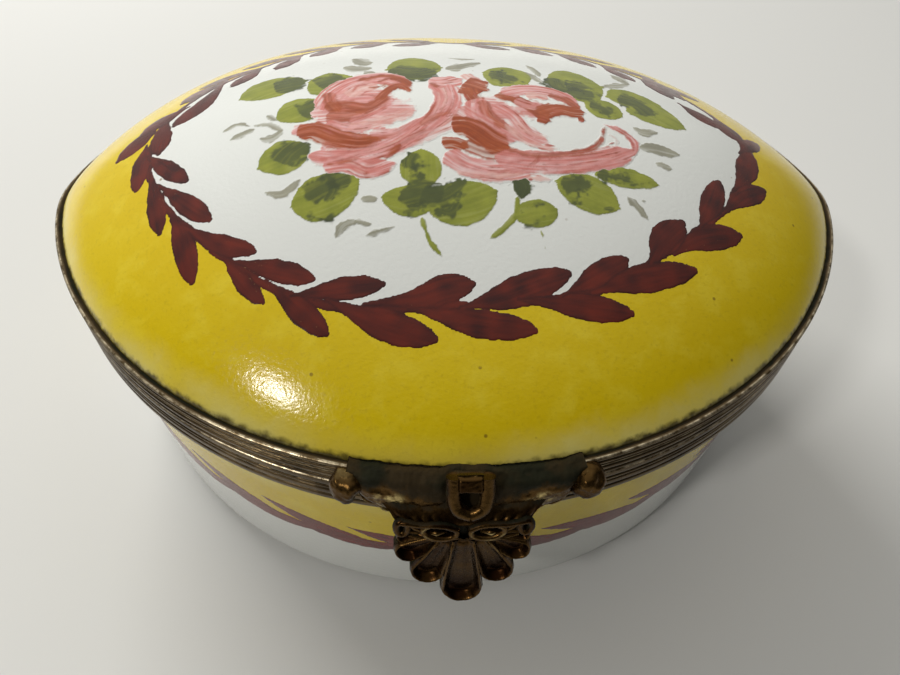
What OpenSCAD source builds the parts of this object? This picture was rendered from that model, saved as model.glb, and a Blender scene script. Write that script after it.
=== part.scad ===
// Hinged porcelain trinket box with reeded brass bands and a shell clasp.
// The plan is a lens: two equal arcs that meet in a mild point at each end.
// Every wall follows the same two arcs, so all walls keep an even thickness.

/* [Size] */
// Length of the bands from tip to tip
length = 64; // [60:1:68]
// Width of the bands from front to back
width = 51.2; // [50:0.2:53]
// Height of the line where the box opens
part_z = 20.2; // [19:0.1:23]
// Rise of the dome above the lid band
dome_h = 8.6; // [8:0.1:11]

/* [Porcelain] */
// Wall thickness of the bowl
bowl_wall = 2.1; // [1.8:0.1:2.3]
// Floor thickness of the bowl
floor_t = 2.6; // [2:0.1:3.5]
// Inward lean of the bowl wall between the band and the base
taper = 0.7; // [0.3:0.1:1.2]
// Thickness of the dome at its crown
dome_wall = 2; // [1.8:0.1:2.4]

/* [Bands] */
// Height of the lid band
lid_band_h = 2.05; // [2:0.05:2.3]
// Height of the bowl band
bowl_band_h = 2.45; // [2.3:0.05:2.8]
// Wall thickness of both bands
band_t = 0.7; // [0.6:0.05:0.75]
// Radius of the round reeds on the bands
reed_r = 0.23; // [0.2:0.01:0.24]
// Height of the guide collar above the line where the box opens
collar_up = 1.3; // [0.8:0.1:1.6]

/* [Hinge] */
// Outer radius of the knuckles
knuckle_r = 1; // [0.9:0.05:1]
// Radius of the hinge pin
pin_r = 0.42; // [0.35:0.01:0.45]
// Half of the hinge's length
hinge_half = 5; // [4:0.5:5]

/* [Clasp] */
// Distance of the clasp from the middle of the front
clasp_x = 0.2; // [-0.5:0.1:0.5]
// Lean of the shell away from the bowl, in degrees
shell_lean = 14; // [8:1:20]
// Radius of the beads at the ends of the clasp bar
bead_r = 1.1; // [0.9:0.05:1.3]

/* [Hidden] */
$fn = 96;
half_w = width / 2;
arc_r = (length * length / 4 + half_w * half_w) / width;
arc_y = arc_r - half_w;
gap = 0.1;
lid_z0 = part_z + gap / 2;
lid_z1 = lid_z0 + lid_band_h;
bowl_z1 = part_z - gap / 2;
bowl_z0 = bowl_z1 - bowl_band_h;
flange_t = 0.4;
seat = 0.1;
skin = band_t + 0.25;
lid_in = skin + dome_wall;
bowl_in = skin + bowl_wall;
liner_t = 0.37;
collar_d = lid_in + liner_t + 0.23;
collar_t = 0.4;
base_r = 1.5;
inner_z = lid_z1 + 0.9;
pin_clear = 0.05;
axis_y = half_w + knuckle_r + 0.05;
lid_knuckle = hinge_half * 0.32;
front_y = -half_w;
bar_t = 1;
steps = 14;

// Height of the dome above its edge as a share of its rise; t runs from 0 at the crown to 1
function swell(t) = pow(1 - pow(t, 1.5), 0.76);

// Turned section of a dome whose edge has radius r and height z0, on a straight wall from foot
function dome_section(r, foot, z0, h) =
    let (fall = (1 - swell(1 / steps)) * h * steps / (r - arc_y))
    concat([[0, foot], [0, z0 + h + fall * arc_y]],
        [for (k = [1:steps]) [arc_y + (r - arc_y) * k / steps, z0 + h * swell(k / steps)]],
        [[r, foot]]);

// Section of a wall with a rounded foot of radius f, from radius r0 below to r1 above
function cup_section(r0, r1, f, z0, z1, z2) = concat([[0, z0]],
    [for (a = [0:15:90]) [r0 - f + f * sin(a), z0 + f - f * cos(a)]],
    [[r1, z1], [r1, z2], [0, z2]]);

// Solid that both arcs of the plan turn out of the same section
module lens_turn() {
    intersection() {
        translate([0, -arc_y, 0]) rotate_extrude() children();
        translate([0, arc_y, 0]) rotate_extrude() children();
    }
}

module lens_slab(d, z0, z1) {
    lens_turn() translate([0, z0]) square([arc_r - d, z1 - z0]);
}

module lens_ring(d0, d1, z0, z1) {
    difference() {
        lens_slab(d0, z0, z1);
        lens_slab(d1, z0 - 1, z1 + 1);
    }
}

// Outer section of a band: plain strips at both edges with round reeds between them
module reeded_section(z0, z1, low, high) {
    pitch = (z1 - high - z0 - low) / 2;
    translate([0, z0]) square([arc_r - 0.3, z1 - z0]);
    translate([0, z0]) square([arc_r, low]);
    translate([0, z1 - high]) square([arc_r - 0.03, high]);
    for (k = [0, 1])
        translate([arc_r - reed_r - 0.03, z0 + low + pitch * (k + 0.5)]) circle(reed_r);
}

module bowl() {
    color([0.95, 0.93, 0.86]) difference() {
        lens_turn() polygon(cup_section(arc_r - skin - taper, arc_r - skin, base_r,
            0, bowl_z0, bowl_z1 - flange_t - seat));
        lens_turn() polygon(cup_section(arc_r - bowl_in - taper, arc_r - bowl_in, 3,
            floor_t, bowl_z0, part_z + 1));
    }
}

module bowl_rim() {
    color([0.36, 0.28, 0.16]) difference() {
        lens_turn() reeded_section(bowl_z0, bowl_z1, 0.6, 0.42);
        lens_slab(band_t, bowl_z0 - 1, bowl_z1 - flange_t);
        lens_slab(collar_d, bowl_z0 - 1, bowl_z1 + 1);
    }
}

module bowl_collar() {
    color([0.5, 0.4, 0.22])
        lens_ring(collar_d + 0.02, collar_d + collar_t, bowl_z0 - 0.6, part_z + collar_up);
}

module bowl_cement() {
    color([0.75, 0.72, 0.66]) union() {
        lens_ring(band_t, skin, bowl_z0 + 0.15, bowl_z1 - flange_t - seat);
        lens_ring(band_t, bowl_in, bowl_z1 - flange_t - seat, bowl_z1 - flange_t);
    }
}

module lid() {
    color([0.93, 0.8, 0.2]) difference() {
        lens_turn() polygon(dome_section(arc_r - skin, lid_z0 + flange_t + seat,
            lid_z1, dome_h));
        lens_turn() polygon(dome_section(arc_r - lid_in, part_z, inner_z,
            lid_z1 + dome_h - dome_wall - inner_z));
    }
}

module lid_rim() {
    color([0.38, 0.3, 0.17]) difference() {
        lens_turn() reeded_section(lid_z0, lid_z1, 0.45, 0.4);
        lens_slab(band_t, lid_z0 + flange_t, lid_z1 + 1);
        lens_slab(lid_in + liner_t, lid_z0 - 1, lid_z1 + 1);
    }
}

module lid_rim_liner() {
    color([0.5, 0.4, 0.22])
        lens_ring(lid_in + 0.03, lid_in + liner_t, lid_z0 + flange_t, inner_z - 0.25);
}

module lid_cement() {
    color([0.75, 0.72, 0.66]) union() {
        lens_ring(band_t, skin, lid_z0 + flange_t + seat, lid_z1 - 0.15);
        lens_ring(band_t, lid_in, lid_z0 + flange_t, lid_z0 + flange_t + seat);
    }
}

// Cylinder along the hinge line between two distances from its middle
module hinge_bar(r, x0, x1) {
    translate([x0, axis_y, part_z]) rotate([0, 90, 0]) cylinder(h = x1 - x0, r = r);
}

module hinge_leaf(z0, z1) {
    intersection() {
        lens_ring(-0.5, 0, z0, z1);
        translate([-hinge_half - 0.4, 10, z0 - 1]) cube([2 * hinge_half + 0.8, 30, z1 - z0 + 2]);
    }
}

module hinge_leaf_bowl() {
    color([0.42, 0.33, 0.18]) difference() {
        hinge_leaf(bowl_z0 + 0.2, bowl_z1 - 0.2);
        hinge_bar(knuckle_r + 0.12, -lid_knuckle - gap, lid_knuckle + gap);
    }
}

module hinge_leaf_lid() {
    color([0.42, 0.33, 0.18]) difference() {
        hinge_leaf(lid_z0 + 0.2, lid_z1 - 0.15);
        for (s = [-1, 1]) hinge_bar(knuckle_r + 0.12, s > 0 ? lid_knuckle : -hinge_half - 2,
            s > 0 ? hinge_half + 2 : -lid_knuckle);
    }
}

module hinge_knuckles_bowl() {
    color([0.46, 0.36, 0.2]) for (s = [-1, 1]) difference() {
        hinge_bar(knuckle_r, s > 0 ? lid_knuckle + gap : -hinge_half,
            s > 0 ? hinge_half : -lid_knuckle - gap);
        hinge_bar(pin_r + 0.02, -hinge_half - 1, hinge_half + 1);
        hinge_leaf(bowl_z0 + 0.2, bowl_z1 - 0.2);
    }
}

module hinge_knuckle_lid() {
    color([0.46, 0.36, 0.2]) difference() {
        hinge_bar(knuckle_r, -lid_knuckle, lid_knuckle);
        hinge_bar(pin_r + pin_clear, -hinge_half, hinge_half);
        hinge_leaf(lid_z0 + 0.2, lid_z1 - 0.15);
    }
}

module hinge_pin() {
    color([0.6, 0.5, 0.3]) union() {
        hinge_bar(pin_r, -hinge_half - 0.1, hinge_half + 0.1);
        hinge_bar(0.7, -hinge_half - 0.4, -hinge_half - 0.02);
        hinge_bar(0.7, hinge_half + 0.02, hinge_half + 0.4);
    }
}

// Front outline of the clasp bar: flat top, drooping to both sides of the middle
module bar_outline() {
    polygon([[-6.9, lid_z1 + 0.2], [-6.9, part_z + 0.9], [-5.9, part_z + 0.1], [-5, part_z - 0.9],
        [-3.6, part_z - 1.3], [-1.5, part_z - 0.8], [1.5, part_z - 0.8], [3.6, part_z - 1.3],
        [5, part_z - 0.9], [5.9, part_z + 0.1], [6.9, part_z + 0.9], [6.9, lid_z1 + 0.2]]);
}

module bead_ball(s, extra) {
    d = arc_r + 0.5;
    translate([clasp_x + 6.9 * s, arc_y - sqrt(d * d - 47.61), part_z + 1.4])
        sphere(bead_r + extra);
}

module clasp_bar() {
    color([0.34, 0.27, 0.15]) difference() {
        intersection() {
            union() {
                lens_ring(-bar_t, 0, lid_z0, lid_z1 + 0.2);
                lens_ring(-bar_t, -0.12, part_z - 2, part_z + 0.2);
            }
            translate([clasp_x, 0, 0]) rotate([90, 0, 0]) linear_extrude(40) bar_outline();
        }
        translate([clasp_x - 0.75, front_y - 5, part_z - 3]) cube([1.5, 10, 3.1]);
        translate([clasp_x - 1.6, front_y - 5, part_z]) cube([3.2, 4.5, 5]);
        bead_ball(-1, 0.01);
        bead_ball(1, 0.01);
    }
}

module clasp_bead(s) {
    difference() {
        bead_ball(s, 0);
        lens_slab(-0.01, part_z - 4, lid_z1 + 3);
    }
}

module clasp_bead_left() {
    color([0.45, 0.37, 0.22]) clasp_bead(-1);
}

module clasp_bead_right() {
    color([0.45, 0.37, 0.22]) clasp_bead(1);
}

// Frame of the eyelet: its face leans back towards the lid
module eyelet_place() {
    translate([clasp_x + 0.1, front_y - 1.6, part_z + 1.2]) rotate([60, 0, 0]) children();
}

module eyelet_body() {
    translate([0, 0, -0.5]) linear_extrude(1) union() {
        circle(1.4);
        translate([-1.4, 0]) square([2.8, 1.9]);
        rotate(45) translate([-1.15, -1.15]) square(1.4);
    }
}

module clasp_eyelet() {
    color([0.5, 0.42, 0.24]) difference() {
        eyelet_place() difference() {
            eyelet_body();
            translate([0, 0, -1]) cylinder(h = 2, r = 0.7);
            translate([-0.6, 0.3, -1]) cube([1.2, 2, 2]);
        }
        translate([-5, front_y - 0.5, part_z - 5]) cube([10, 5, 12]);
    }
}

module clasp_eyelet_block() {
    color([0.4, 0.33, 0.2]) difference() {
        eyelet_place() translate([-0.6, 0.8, -0.4]) cube([1.2, 1, 0.7]);
        translate([-5, front_y - 0.5, part_z - 5]) cube([10, 5, 12]);
    }
}

// Frame of the hanging shell: its lower end stands away from the bowl
module shell_place() {
    translate([clasp_x, front_y - 1.5, part_z - 0.7]) rotate([90 - shell_lean, 0, 0]) children();
}

// One half of the scroll pair: a volute and the arm above it
module scroll_outline() {
    translate([1.4, -1.3]) circle(1.2);
    polygon([[-0.1, -0.35], [4, -0.5], [4, 0.2], [2, 0.35], [-0.1, 0.4]]);
    translate([3.95, -0.15]) circle(0.42);
}

module clasp_scrolls() {
    color([0.42, 0.34, 0.19]) difference() {
        shell_place() difference() {
            translate([0, 0, -0.45]) linear_extrude(1.1) union() {
                for (m = [0, 1]) mirror([m, 0]) scroll_outline();
                translate([-0.8, -0.7]) square([1.6, 1]);
            }
            for (s = [-1, 1]) translate([1.45 * s, -1.3, -1]) cylinder(h = 3, r = 0.5);
        }
        eyelet_place() eyelet_body();
    }
}

// One lobe of the shell, from the root to a round tip
module lobe_outline(turn, reach, r) {
    translate([0, -0.6]) rotate(turn) union() {
        polygon([[0, -0.4], [reach - r, -r * 0.96], [reach - r, r * 0.96], [0, 0.4]]);
        translate([reach - r, 0]) circle(r);
    }
}

function lobe_list() = [[-90, 7.5, 1.3], [-65, 6.15, 1.15], [-39, 4.75, 1], [-17, 4.1, 0.72]];

module clasp_shell() {
    color([0.4, 0.3, 0.17]) shell_place() difference() {
        translate([0, 0, -0.5]) linear_extrude(1) union()
            for (l = lobe_list(), m = [0, 1])
                mirror([m, 0]) lobe_outline(l[0], l[1], l[2]);
        for (l = lobe_list(), m = [0, 1])
            mirror([m, 0, 0]) translate([0, -0.6, 0.5]) rotate(l[0])
                translate([l[1] - l[2] * 1.15, 0, l[2] * 1.35]) sphere(l[2] * 1.6);
        for (s = [-1, 1]) translate([1.4 * s, -1.3, -2]) cylinder(h = 4, r = 1.21);
        translate([-5, -0.71, -2]) cube([10, 3, 4]);
    }
}

module catch_stud() {
    color([0.5, 0.42, 0.24]) translate([clasp_x, front_y, part_z - 1]) rotate([90, 0, 0])
        cylinder(h = 0.9, r = 0.55);
}

bowl();
bowl_rim();
bowl_collar();
bowl_cement();
lid();
lid_rim();
lid_rim_liner();
lid_cement();
hinge_leaf_bowl();
hinge_leaf_lid();
hinge_knuckles_bowl();
hinge_knuckle_lid();
hinge_pin();
clasp_bar();
clasp_bead_left();
clasp_bead_right();
clasp_eyelet();
clasp_eyelet_block();
clasp_scrolls();
clasp_shell();
catch_stud();
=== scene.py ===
"""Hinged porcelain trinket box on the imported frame: glaze, painted enamel, reeded bands and clasp."""

import math

import bmesh
import bpy
import numpy as np
from mathutils import Matrix, Vector, noise


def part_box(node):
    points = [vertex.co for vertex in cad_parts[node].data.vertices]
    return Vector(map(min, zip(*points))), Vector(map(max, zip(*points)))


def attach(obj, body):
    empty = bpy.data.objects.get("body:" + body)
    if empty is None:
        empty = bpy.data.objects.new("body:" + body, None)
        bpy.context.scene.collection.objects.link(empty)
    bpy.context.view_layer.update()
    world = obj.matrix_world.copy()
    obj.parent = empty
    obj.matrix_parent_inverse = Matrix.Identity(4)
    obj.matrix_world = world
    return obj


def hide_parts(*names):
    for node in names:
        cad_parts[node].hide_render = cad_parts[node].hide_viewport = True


# Without a seed, noise_vector takes its offsets from the clock.
noise.seed_set(7)

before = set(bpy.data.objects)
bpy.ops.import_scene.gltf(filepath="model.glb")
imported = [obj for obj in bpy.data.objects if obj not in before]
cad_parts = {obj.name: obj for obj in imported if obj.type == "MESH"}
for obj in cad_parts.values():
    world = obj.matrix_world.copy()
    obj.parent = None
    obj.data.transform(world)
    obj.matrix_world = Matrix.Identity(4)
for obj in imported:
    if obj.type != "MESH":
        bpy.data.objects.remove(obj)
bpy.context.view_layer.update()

# ---------------------------------------------------------------- sizes, in millimetres, from the frame


def box_mm(node):
    """Lowest and highest corner of a CAD node, in millimetres."""
    low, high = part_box(node)
    return np.array(low) * 1000.0, np.array(high) * 1000.0


RIM_LOW, RIM_HIGH = box_mm("lid_rim")
BOWL_RIM_LOW, BOWL_RIM_HIGH = box_mm("bowl_rim")
LID_LOW, LID_HIGH = box_mm("lid")
BOWL_TOP = float(box_mm("bowl")[1][2])
# Half the length and half the width of the bands' outer line. The real ends are rounder than the CAD's.
END_TRIM = 0.8
HALF, WIDE = float(RIM_HIGH[0]) - END_TRIM, float(RIM_HIGH[1])
# How far the porcelain lies inside that line: the lid's shows a narrower ledge than the CAD's.
BOWL_SKIN = float(RIM_HIGH[1] - LID_HIGH[1])
SKIN = BOWL_SKIN - 0.4
BAND_WALL = 0.42
LID_Z0, LID_Z1, CROWN_Z = float(RIM_LOW[2]), float(RIM_HIGH[2]), float(LID_HIGH[2])
BOWL_Z0, BOWL_Z1 = float(BOWL_RIM_LOW[2]), float(BOWL_RIM_HIGH[2])
PART_Z = (LID_Z0 + BOWL_Z1) / 2
CLASP_X = float(np.mean([corner[0] for corner in box_mm("clasp_shell")]))
FRONT = -WIDE

# Plan of the box: two arcs of radius ARC_R, with their crossing at each end softened over TIP.
TIP = 0.8
ARC_R = (HALF**2 + WIDE**2 - TIP**2 / 4) / (2 * WIDE - TIP)
ARC_Y = ARC_R - WIDE


def inset(x, y, soft=TIP):
    """How far a plan point lies inside the bands' outer line."""
    r1, r2 = np.hypot(x, y + ARC_Y), np.hypot(x, y - ARC_Y)
    return ARC_R - (r1 + r2 + np.sqrt((r1 - r2) ** 2 + soft**2)) / 2


def reach(angle, depth):
    """Distance from the middle to the outline inset by depth, along each angle."""
    low, high = np.zeros_like(angle), np.full_like(angle, HALF * 1.1)
    for _ in range(44):
        mid = (low + high) / 2
        inside = inset(mid * np.cos(angle), mid * np.sin(angle)) > depth
        low, high = np.where(inside, mid, low), np.where(inside, high, mid)
    return (low + high) / 2


def outline(n):
    """n evenly spaced plan points round the bands' outer line, and their outward normals."""
    angle = np.linspace(0, 2 * math.pi, 2401)
    r = reach(angle, 0.0)
    p = np.c_[r * np.cos(angle), r * np.sin(angle)]
    along = np.r_[0, np.cumsum(np.hypot(*np.diff(p, axis=0).T))]
    t = np.linspace(0, along[-1], n, endpoint=False)
    p = np.c_[np.interp(t, along, p[:, 0]), np.interp(t, along, p[:, 1])]
    h = 1e-3
    g = np.c_[
        inset(p[:, 0] + h, p[:, 1]) - inset(p[:, 0] - h, p[:, 1]),
        inset(p[:, 0], p[:, 1] + h) - inset(p[:, 0], p[:, 1] - h),
    ]
    return p, -g / np.hypot(*g.T)[:, None]


EDGE_ANGLE = np.linspace(-math.pi, math.pi, 1441)
EDGE_REACH = reach(EDGE_ANGLE, SKIN)
SWELL_N, SWELL_M, SWELL_MIX, SWELL_SOFT = 1.45, 0.78, 0.475, 4.6
LEAN, RIDGE, BACK = -0.024, 2.16, -0.3


def dome(x, y, low=LID_Z1, rise=CROWN_Z - LID_Z1):
    """Height of the lid's outer face over a plan point, slightly uneven as if thrown by hand."""
    ts = np.clip(np.hypot(x, y) / np.interp(np.arctan2(y, x), EDGE_ANGLE, EDGE_REACH), 0, 1)
    soft = TIP + SWELL_SOFT * (1 - ts**2)
    top = inset(0.0, 0.0, TIP + SWELL_SOFT)
    to = 1 - (inset(x, y, soft) - SKIN) / (top - SKIN)
    t = np.clip((1 - SWELL_MIX) * to + SWELL_MIX * ts, 0, 1)
    s = np.abs(x) / 20
    hand = LEAN * x + RIDGE * s**2 / (1 + s**2) + BACK * y / 20
    return low + rise * (1 - t**SWELL_N) ** SWELL_M + (1 - ts**4) * hand


# ---------------------------------------------------------------- mesh helpers


def make(name, verts, faces, body, mat, replaces=(), attrs=None):
    """A mesh piece from points in millimetres, riding on a body."""
    mesh = bpy.data.meshes.new(name)
    mesh.from_pydata((np.asarray(verts, float) / 1000.0).tolist(), [], [list(map(int, f)) for f in faces])
    for key, values in (attrs or {}).items():
        values = np.asarray(values, float)
        if values.ndim == 1:
            mesh.attributes.new(key, "FLOAT", "POINT").data.foreach_set("value", values)
        else:
            mesh.attributes.new(key, "FLOAT_VECTOR", "POINT").data.foreach_set("vector", values.ravel())
    mesh.polygons.foreach_set("use_smooth", [True] * len(mesh.polygons))
    mesh.materials.append(mat)
    mesh.update()
    obj = bpy.data.objects.new(name, mesh)
    bpy.context.collection.objects.link(obj)
    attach(obj, body)
    if replaces:
        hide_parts(*replaces)
    return obj


def grid_faces(rows, cols, wrap_rows=False, wrap_cols=False):
    """Four-sided faces over a (rows, cols) grid of points, closed on itself where it wraps."""
    i = np.arange(rows if wrap_rows else rows - 1)
    j = np.arange(cols if wrap_cols else cols - 1)
    a, b = np.meshgrid(i, j, indexing="ij")
    a2, b2 = (a + 1) % rows, (b + 1) % cols
    return np.stack([a * cols + b, a2 * cols + b, a2 * cols + b2, a * cols + b2], -1).reshape(-1, 4)


def wave(s, seed, count=5):
    """A smooth closed wobble of about unit size along s from 0 to 1."""
    rng = np.random.default_rng(seed)
    out = np.zeros_like(s)
    for k in range(1, count + 1):
        out += rng.normal() * np.cos(2 * math.pi * (k * s + rng.random())) / k
    return out / 1.3


def fuzz(points, scale, size, seed=0.0):
    """Displacement of each point by noise, in millimetres."""
    shift = Vector((seed * 3.1, seed * 1.7, seed * 2.3))
    return np.array([list(noise.noise_vector(Vector(p) * scale + shift)) for p in points]) * size


def sweep(name, profile, body, mat, replaces=(), n=420, wobble=0.0, seed=1, relief=None, grime=None):
    """A closed ring: the profile's (inset, height) points carried round the plan."""
    profile = np.asarray(profile, float)
    p, normal = outline(n)
    s = np.arange(n) / n
    in_out, up = wave(s, seed, 9) * wobble, wave(s, seed + 7, 7) * wobble * 0.6
    d = profile[None, :, 0] + in_out[:, None]
    xy = p[:, None, :] - normal[:, None, :] * d[..., None]
    z = np.broadcast_to(profile[None, :, 1], d.shape) + up[:, None]
    verts = np.concatenate([xy, z[..., None]], -1).reshape(-1, 3)
    attrs = {}
    if relief is not None:
        attrs["relief"] = np.tile(relief, n)
        attrs["grime"] = np.tile(grime, n)
    return make(name, verts, grid_faces(n, len(profile), True, True), body, mat, replaces, attrs)


# ---------------------------------------------------------------- material helpers


class Tree:
    """A node material being built: each method adds a node and returns its output socket."""

    def __init__(self, name):
        self.mat = bpy.data.materials.new(name)
        self.mat.use_nodes = True
        self.nt = self.mat.node_tree
        self.bsdf = self.nt.nodes["Principled BSDF"]
        self.coord = self.nt.nodes.new("ShaderNodeTexCoord").outputs["Object"]

    def put(self, socket, value):
        if isinstance(value, bpy.types.NodeSocket):
            self.nt.links.new(value, socket)
        else:
            socket.default_value = value

    def set(self, **values):
        for key, value in values.items():
            self.put(self.bsdf.inputs[key.replace("_", " ")], value)

    def attr(self, name, part="Fac"):
        n = self.nt.nodes.new("ShaderNodeAttribute")
        n.attribute_name = name
        return n.outputs[part]

    def split(self, vector):
        n = self.nt.nodes.new("ShaderNodeSeparateXYZ")
        self.put(n.inputs[0], vector)
        return n.outputs

    def noise(self, scale, detail=4.0, rough=0.55, warp=0.0):
        n = self.nt.nodes.new("ShaderNodeTexNoise")
        self.put(n.inputs["Vector"], self.coord)
        n.inputs["Scale"].default_value = scale
        n.inputs["Detail"].default_value = detail
        n.inputs["Roughness"].default_value = rough
        n.inputs["Distortion"].default_value = warp
        return n.outputs["Fac"]

    def cells(self, scale):
        n = self.nt.nodes.new("ShaderNodeTexVoronoi")
        self.put(n.inputs["Vector"], self.coord)
        n.inputs["Scale"].default_value = scale
        return n.outputs["Distance"]

    def math(self, op, a, b=0.0, c=0.0):
        n = self.nt.nodes.new("ShaderNodeMath")
        n.operation = op
        for socket, value in zip(n.inputs, (a, b, c)):
            self.put(socket, value)
        return n.outputs[0]

    def step(self, value, low, high, to_low=0.0, to_high=1.0):
        n = self.nt.nodes.new("ShaderNodeMapRange")
        n.interpolation_type = "SMOOTHSTEP"
        keys = ("Value", "From Min", "From Max", "To Min", "To Max")
        for key, v in zip(keys, (value, low, high, to_low, to_high)):
            self.put(n.inputs[key], v)
        return n.outputs[0]

    def mix(self, factor, a, b):
        n = self.nt.nodes.new("ShaderNodeMix")
        n.data_type = "RGBA"
        for index, value in ((0, factor), (6, a), (7, b)):
            self.put(n.inputs[index], (*value, 1.0) if isinstance(value, tuple) else value)
        return n.outputs[2]

    def bump(self, height, strength, distance):
        n = self.nt.nodes.new("ShaderNodeBump")
        n.inputs["Strength"].default_value = strength
        n.inputs["Distance"].default_value = distance
        self.put(n.inputs["Height"], height)
        self.put(self.bsdf.inputs["Normal"], n.outputs[0])


def glaze(name, edge, pale_from, pale_to):
    """White glazed porcelain with a sponged yellow ground. Attribute zone holds the distance in from the
    band, and the place across the painted border, which is yellow above 1."""
    t = Tree(name)
    zone = t.split(t.attr("zone", "Vector"))
    broad = t.noise(95.0, 3.0)
    mottle = t.noise(520.0, 5.0, 0.6, 0.3)
    fine = t.noise(3600.0, 3.0)
    border = t.math("ADD", zone[1], t.math("MULTIPLY", t.math("SUBTRACT", t.noise(330.0, 3.0), 0.5), edge))
    is_yellow = t.step(border, 0.992, 1.008)
    body = t.mix(broad, (0.76, 0.57, 0.003), (0.68, 0.475, 0.002))
    body = t.mix(t.step(mottle, 0.46, 0.72, 0.0, 0.55), body, (0.80, 0.63, 0.035))
    body = t.mix(t.step(fine, 0.52, 0.78, 0.0, 0.5), body, (0.56, 0.40, 0.004))
    pale = t.step(t.math("ADD", zone[0], t.math("MULTIPLY", mottle, 1.8)), pale_from, pale_to, 1.0, 0.0)
    body = t.mix(t.math("MULTIPLY", pale, t.step(broad, 0.40, 0.60, 0.25, 0.8)), body, (0.80, 0.71, 0.24))
    white = t.mix(broad, (0.80, 0.81, 0.775), (0.765, 0.775, 0.74))
    colour = t.mix(is_yellow, white, body)
    specked = t.step(t.noise(260.0, 2.0), 0.56, 0.62)
    speck = t.math("MULTIPLY", t.step(t.cells(620.0), 0.05, 0.09, 1.0, 0.0), specked)
    colour = t.mix(t.math("MULTIPLY", speck, 0.7), colour, (0.20, 0.11, 0.01))
    ragged = t.math("ADD", zone[0], t.math("MULTIPLY", t.noise(1500.0, 4.0), 0.5))
    dirt = t.step(ragged, 1.19, 1.50, 0.95, 0.0)
    colour = t.mix(dirt, colour, (0.06, 0.045, 0.012))
    t.set(Base_Color=colour, Roughness=t.step(fine, 0.2, 0.8, 0.11, 0.21), IOR=1.46)
    ripple = t.math("MULTIPLY", t.noise(260.0, 2.0), 0.35)
    t.bump(t.math("ADD", t.noise(3300.0, 3.0, 0.6), ripple), 0.4, 0.00004)
    return t.mat


def aged_brass(name, dark, mid, bright, rough):
    """Aged brass. Attribute relief is 0 in grooves and 1 on worn edges, whose bright colour is wear and a
    painted glint; grime is high where dirt collects and where shade is painted.
    """
    t = Tree(name)
    relief, grime = t.attr("relief"), t.attr("grime")
    patch, streak, grain = t.noise(330.0, 4.0), t.noise(1400.0, 4.0, 0.6), t.noise(6000.0, 3.0)
    worn = t.math("ADD", relief, t.math("MULTIPLY", t.math("SUBTRACT", patch, 0.5), 0.9))
    colour = t.mix(t.step(worn, 0.1, 0.62), dark, mid)
    # The bright colour on the most worn edges is real wear and also a painted glint.
    wear_and_glint = t.math("MULTIPLY", t.step(worn, 0.72, 1.15), t.step(streak, 0.36, 0.66))
    colour = t.mix(wear_and_glint, colour, bright)
    grime_and_shade_level = t.math("ADD", grime, t.math("MULTIPLY", t.math("SUBTRACT", streak, 0.5), 1.1))
    grime_and_shade_share = t.step(grime_and_shade_level, 0.42, 0.86)
    # This dark colour stands for grime and for painted shade alike.
    dirt = t.mix(t.step(patch, 0.4, 0.6), (0.014, 0.014, 0.006), (0.034, 0.022, 0.008))
    colour = t.mix(grime_and_shade_share, colour, dirt)
    base_rough = t.step(grain, 0.2, 0.8, rough - 0.1, rough + 0.12)
    t.set(
        Base_Color=colour,
        Metallic=t.step(grime_and_shade_share, 0.1, 0.9, 0.92, 0.15),
        Specular_IOR_Level=0.18,
        Roughness=t.math("ADD", base_rough, t.math("MULTIPLY", grime_and_shade_share, 0.42)),
    )
    t.bump(t.math("ADD", t.math("MULTIPLY", grain, 0.5), streak), 0.5, 0.00003)
    return t.mat


def plain_metal(name, dark, light, rough):
    """Brass with dull patches, for parts with no attributes of their own."""
    t = Tree(name)
    patch, grain = t.noise(500.0, 4.0, 0.6), t.noise(5200.0, 3.0)
    t.set(
        Base_Color=t.mix(t.step(patch, 0.34, 0.66), dark, light),
        Metallic=0.92,
        Roughness=t.step(grain, 0.2, 0.8, rough, rough + 0.2),
    )
    t.bump(t.math("ADD", grain, patch), 0.35, 0.00002)
    return t.mat


def cement(name):
    """The grainy filling between the porcelain and its band."""
    t = Tree(name)
    grain = t.noise(2600.0, 5.0, 0.7)
    t.set(Base_Color=t.mix(grain, (0.34, 0.31, 0.25), (0.62, 0.58, 0.50)), Roughness=0.9)
    t.bump(grain, 0.6, 0.00005)
    return t.mat


LID_GLAZE = glaze("lid_glaze", 0.012, 1.6, 3.7)
BOWL_GLAZE = glaze("bowl_glaze", 0.02, 3.0, 6.5)
BAND = aged_brass("band_brass", (0.036, 0.023, 0.011), (0.155, 0.108, 0.055), (0.86, 0.73, 0.50), 0.34)
CLASP = aged_brass("clasp_brass", (0.019, 0.0065, 0.0015), (0.092, 0.049, 0.014), (0.72, 0.57, 0.25), 0.3)
INNER = plain_metal("inner_brass", (0.30, 0.22, 0.10), (0.52, 0.40, 0.19), 0.34)
HINGE = plain_metal("hinge_brass", (0.11, 0.08, 0.04), (0.34, 0.25, 0.12), 0.36)
CEMENT = cement("seating_cement")

# ---------------------------------------------------------------- porcelain

# The wreath's stem, once round the lid.
RING = (
    (-20.3, 3.3), (-22.2, 1.4), (-22.6, -0.9), (-21.4, -4.2), (-19.4, -7.9), (-17.3, -10.4),
    (-15.1, -12.5), (-12.4, -14.8), (-9.7, -16.0), (-5.9, -16.6), (-1.3, -16.8), (3.5, -16.5),
    (8.2, -15.3), (12.5, -13.2), (16.4, -10.0), (19.1, -7.1), (21.6, -4.2), (23.0, -0.8), (22.9, 1.4),
    (21.4, 4.6), (18.9, 7.6), (15.8, 10.6), (11.0, 13.3), (5.5, 14.9), (0.0, 15.4), (-5.5, 14.9),
    (-11.0, 12.9), (-15.6, 9.6), (-18.4, 6.3),
)


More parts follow.
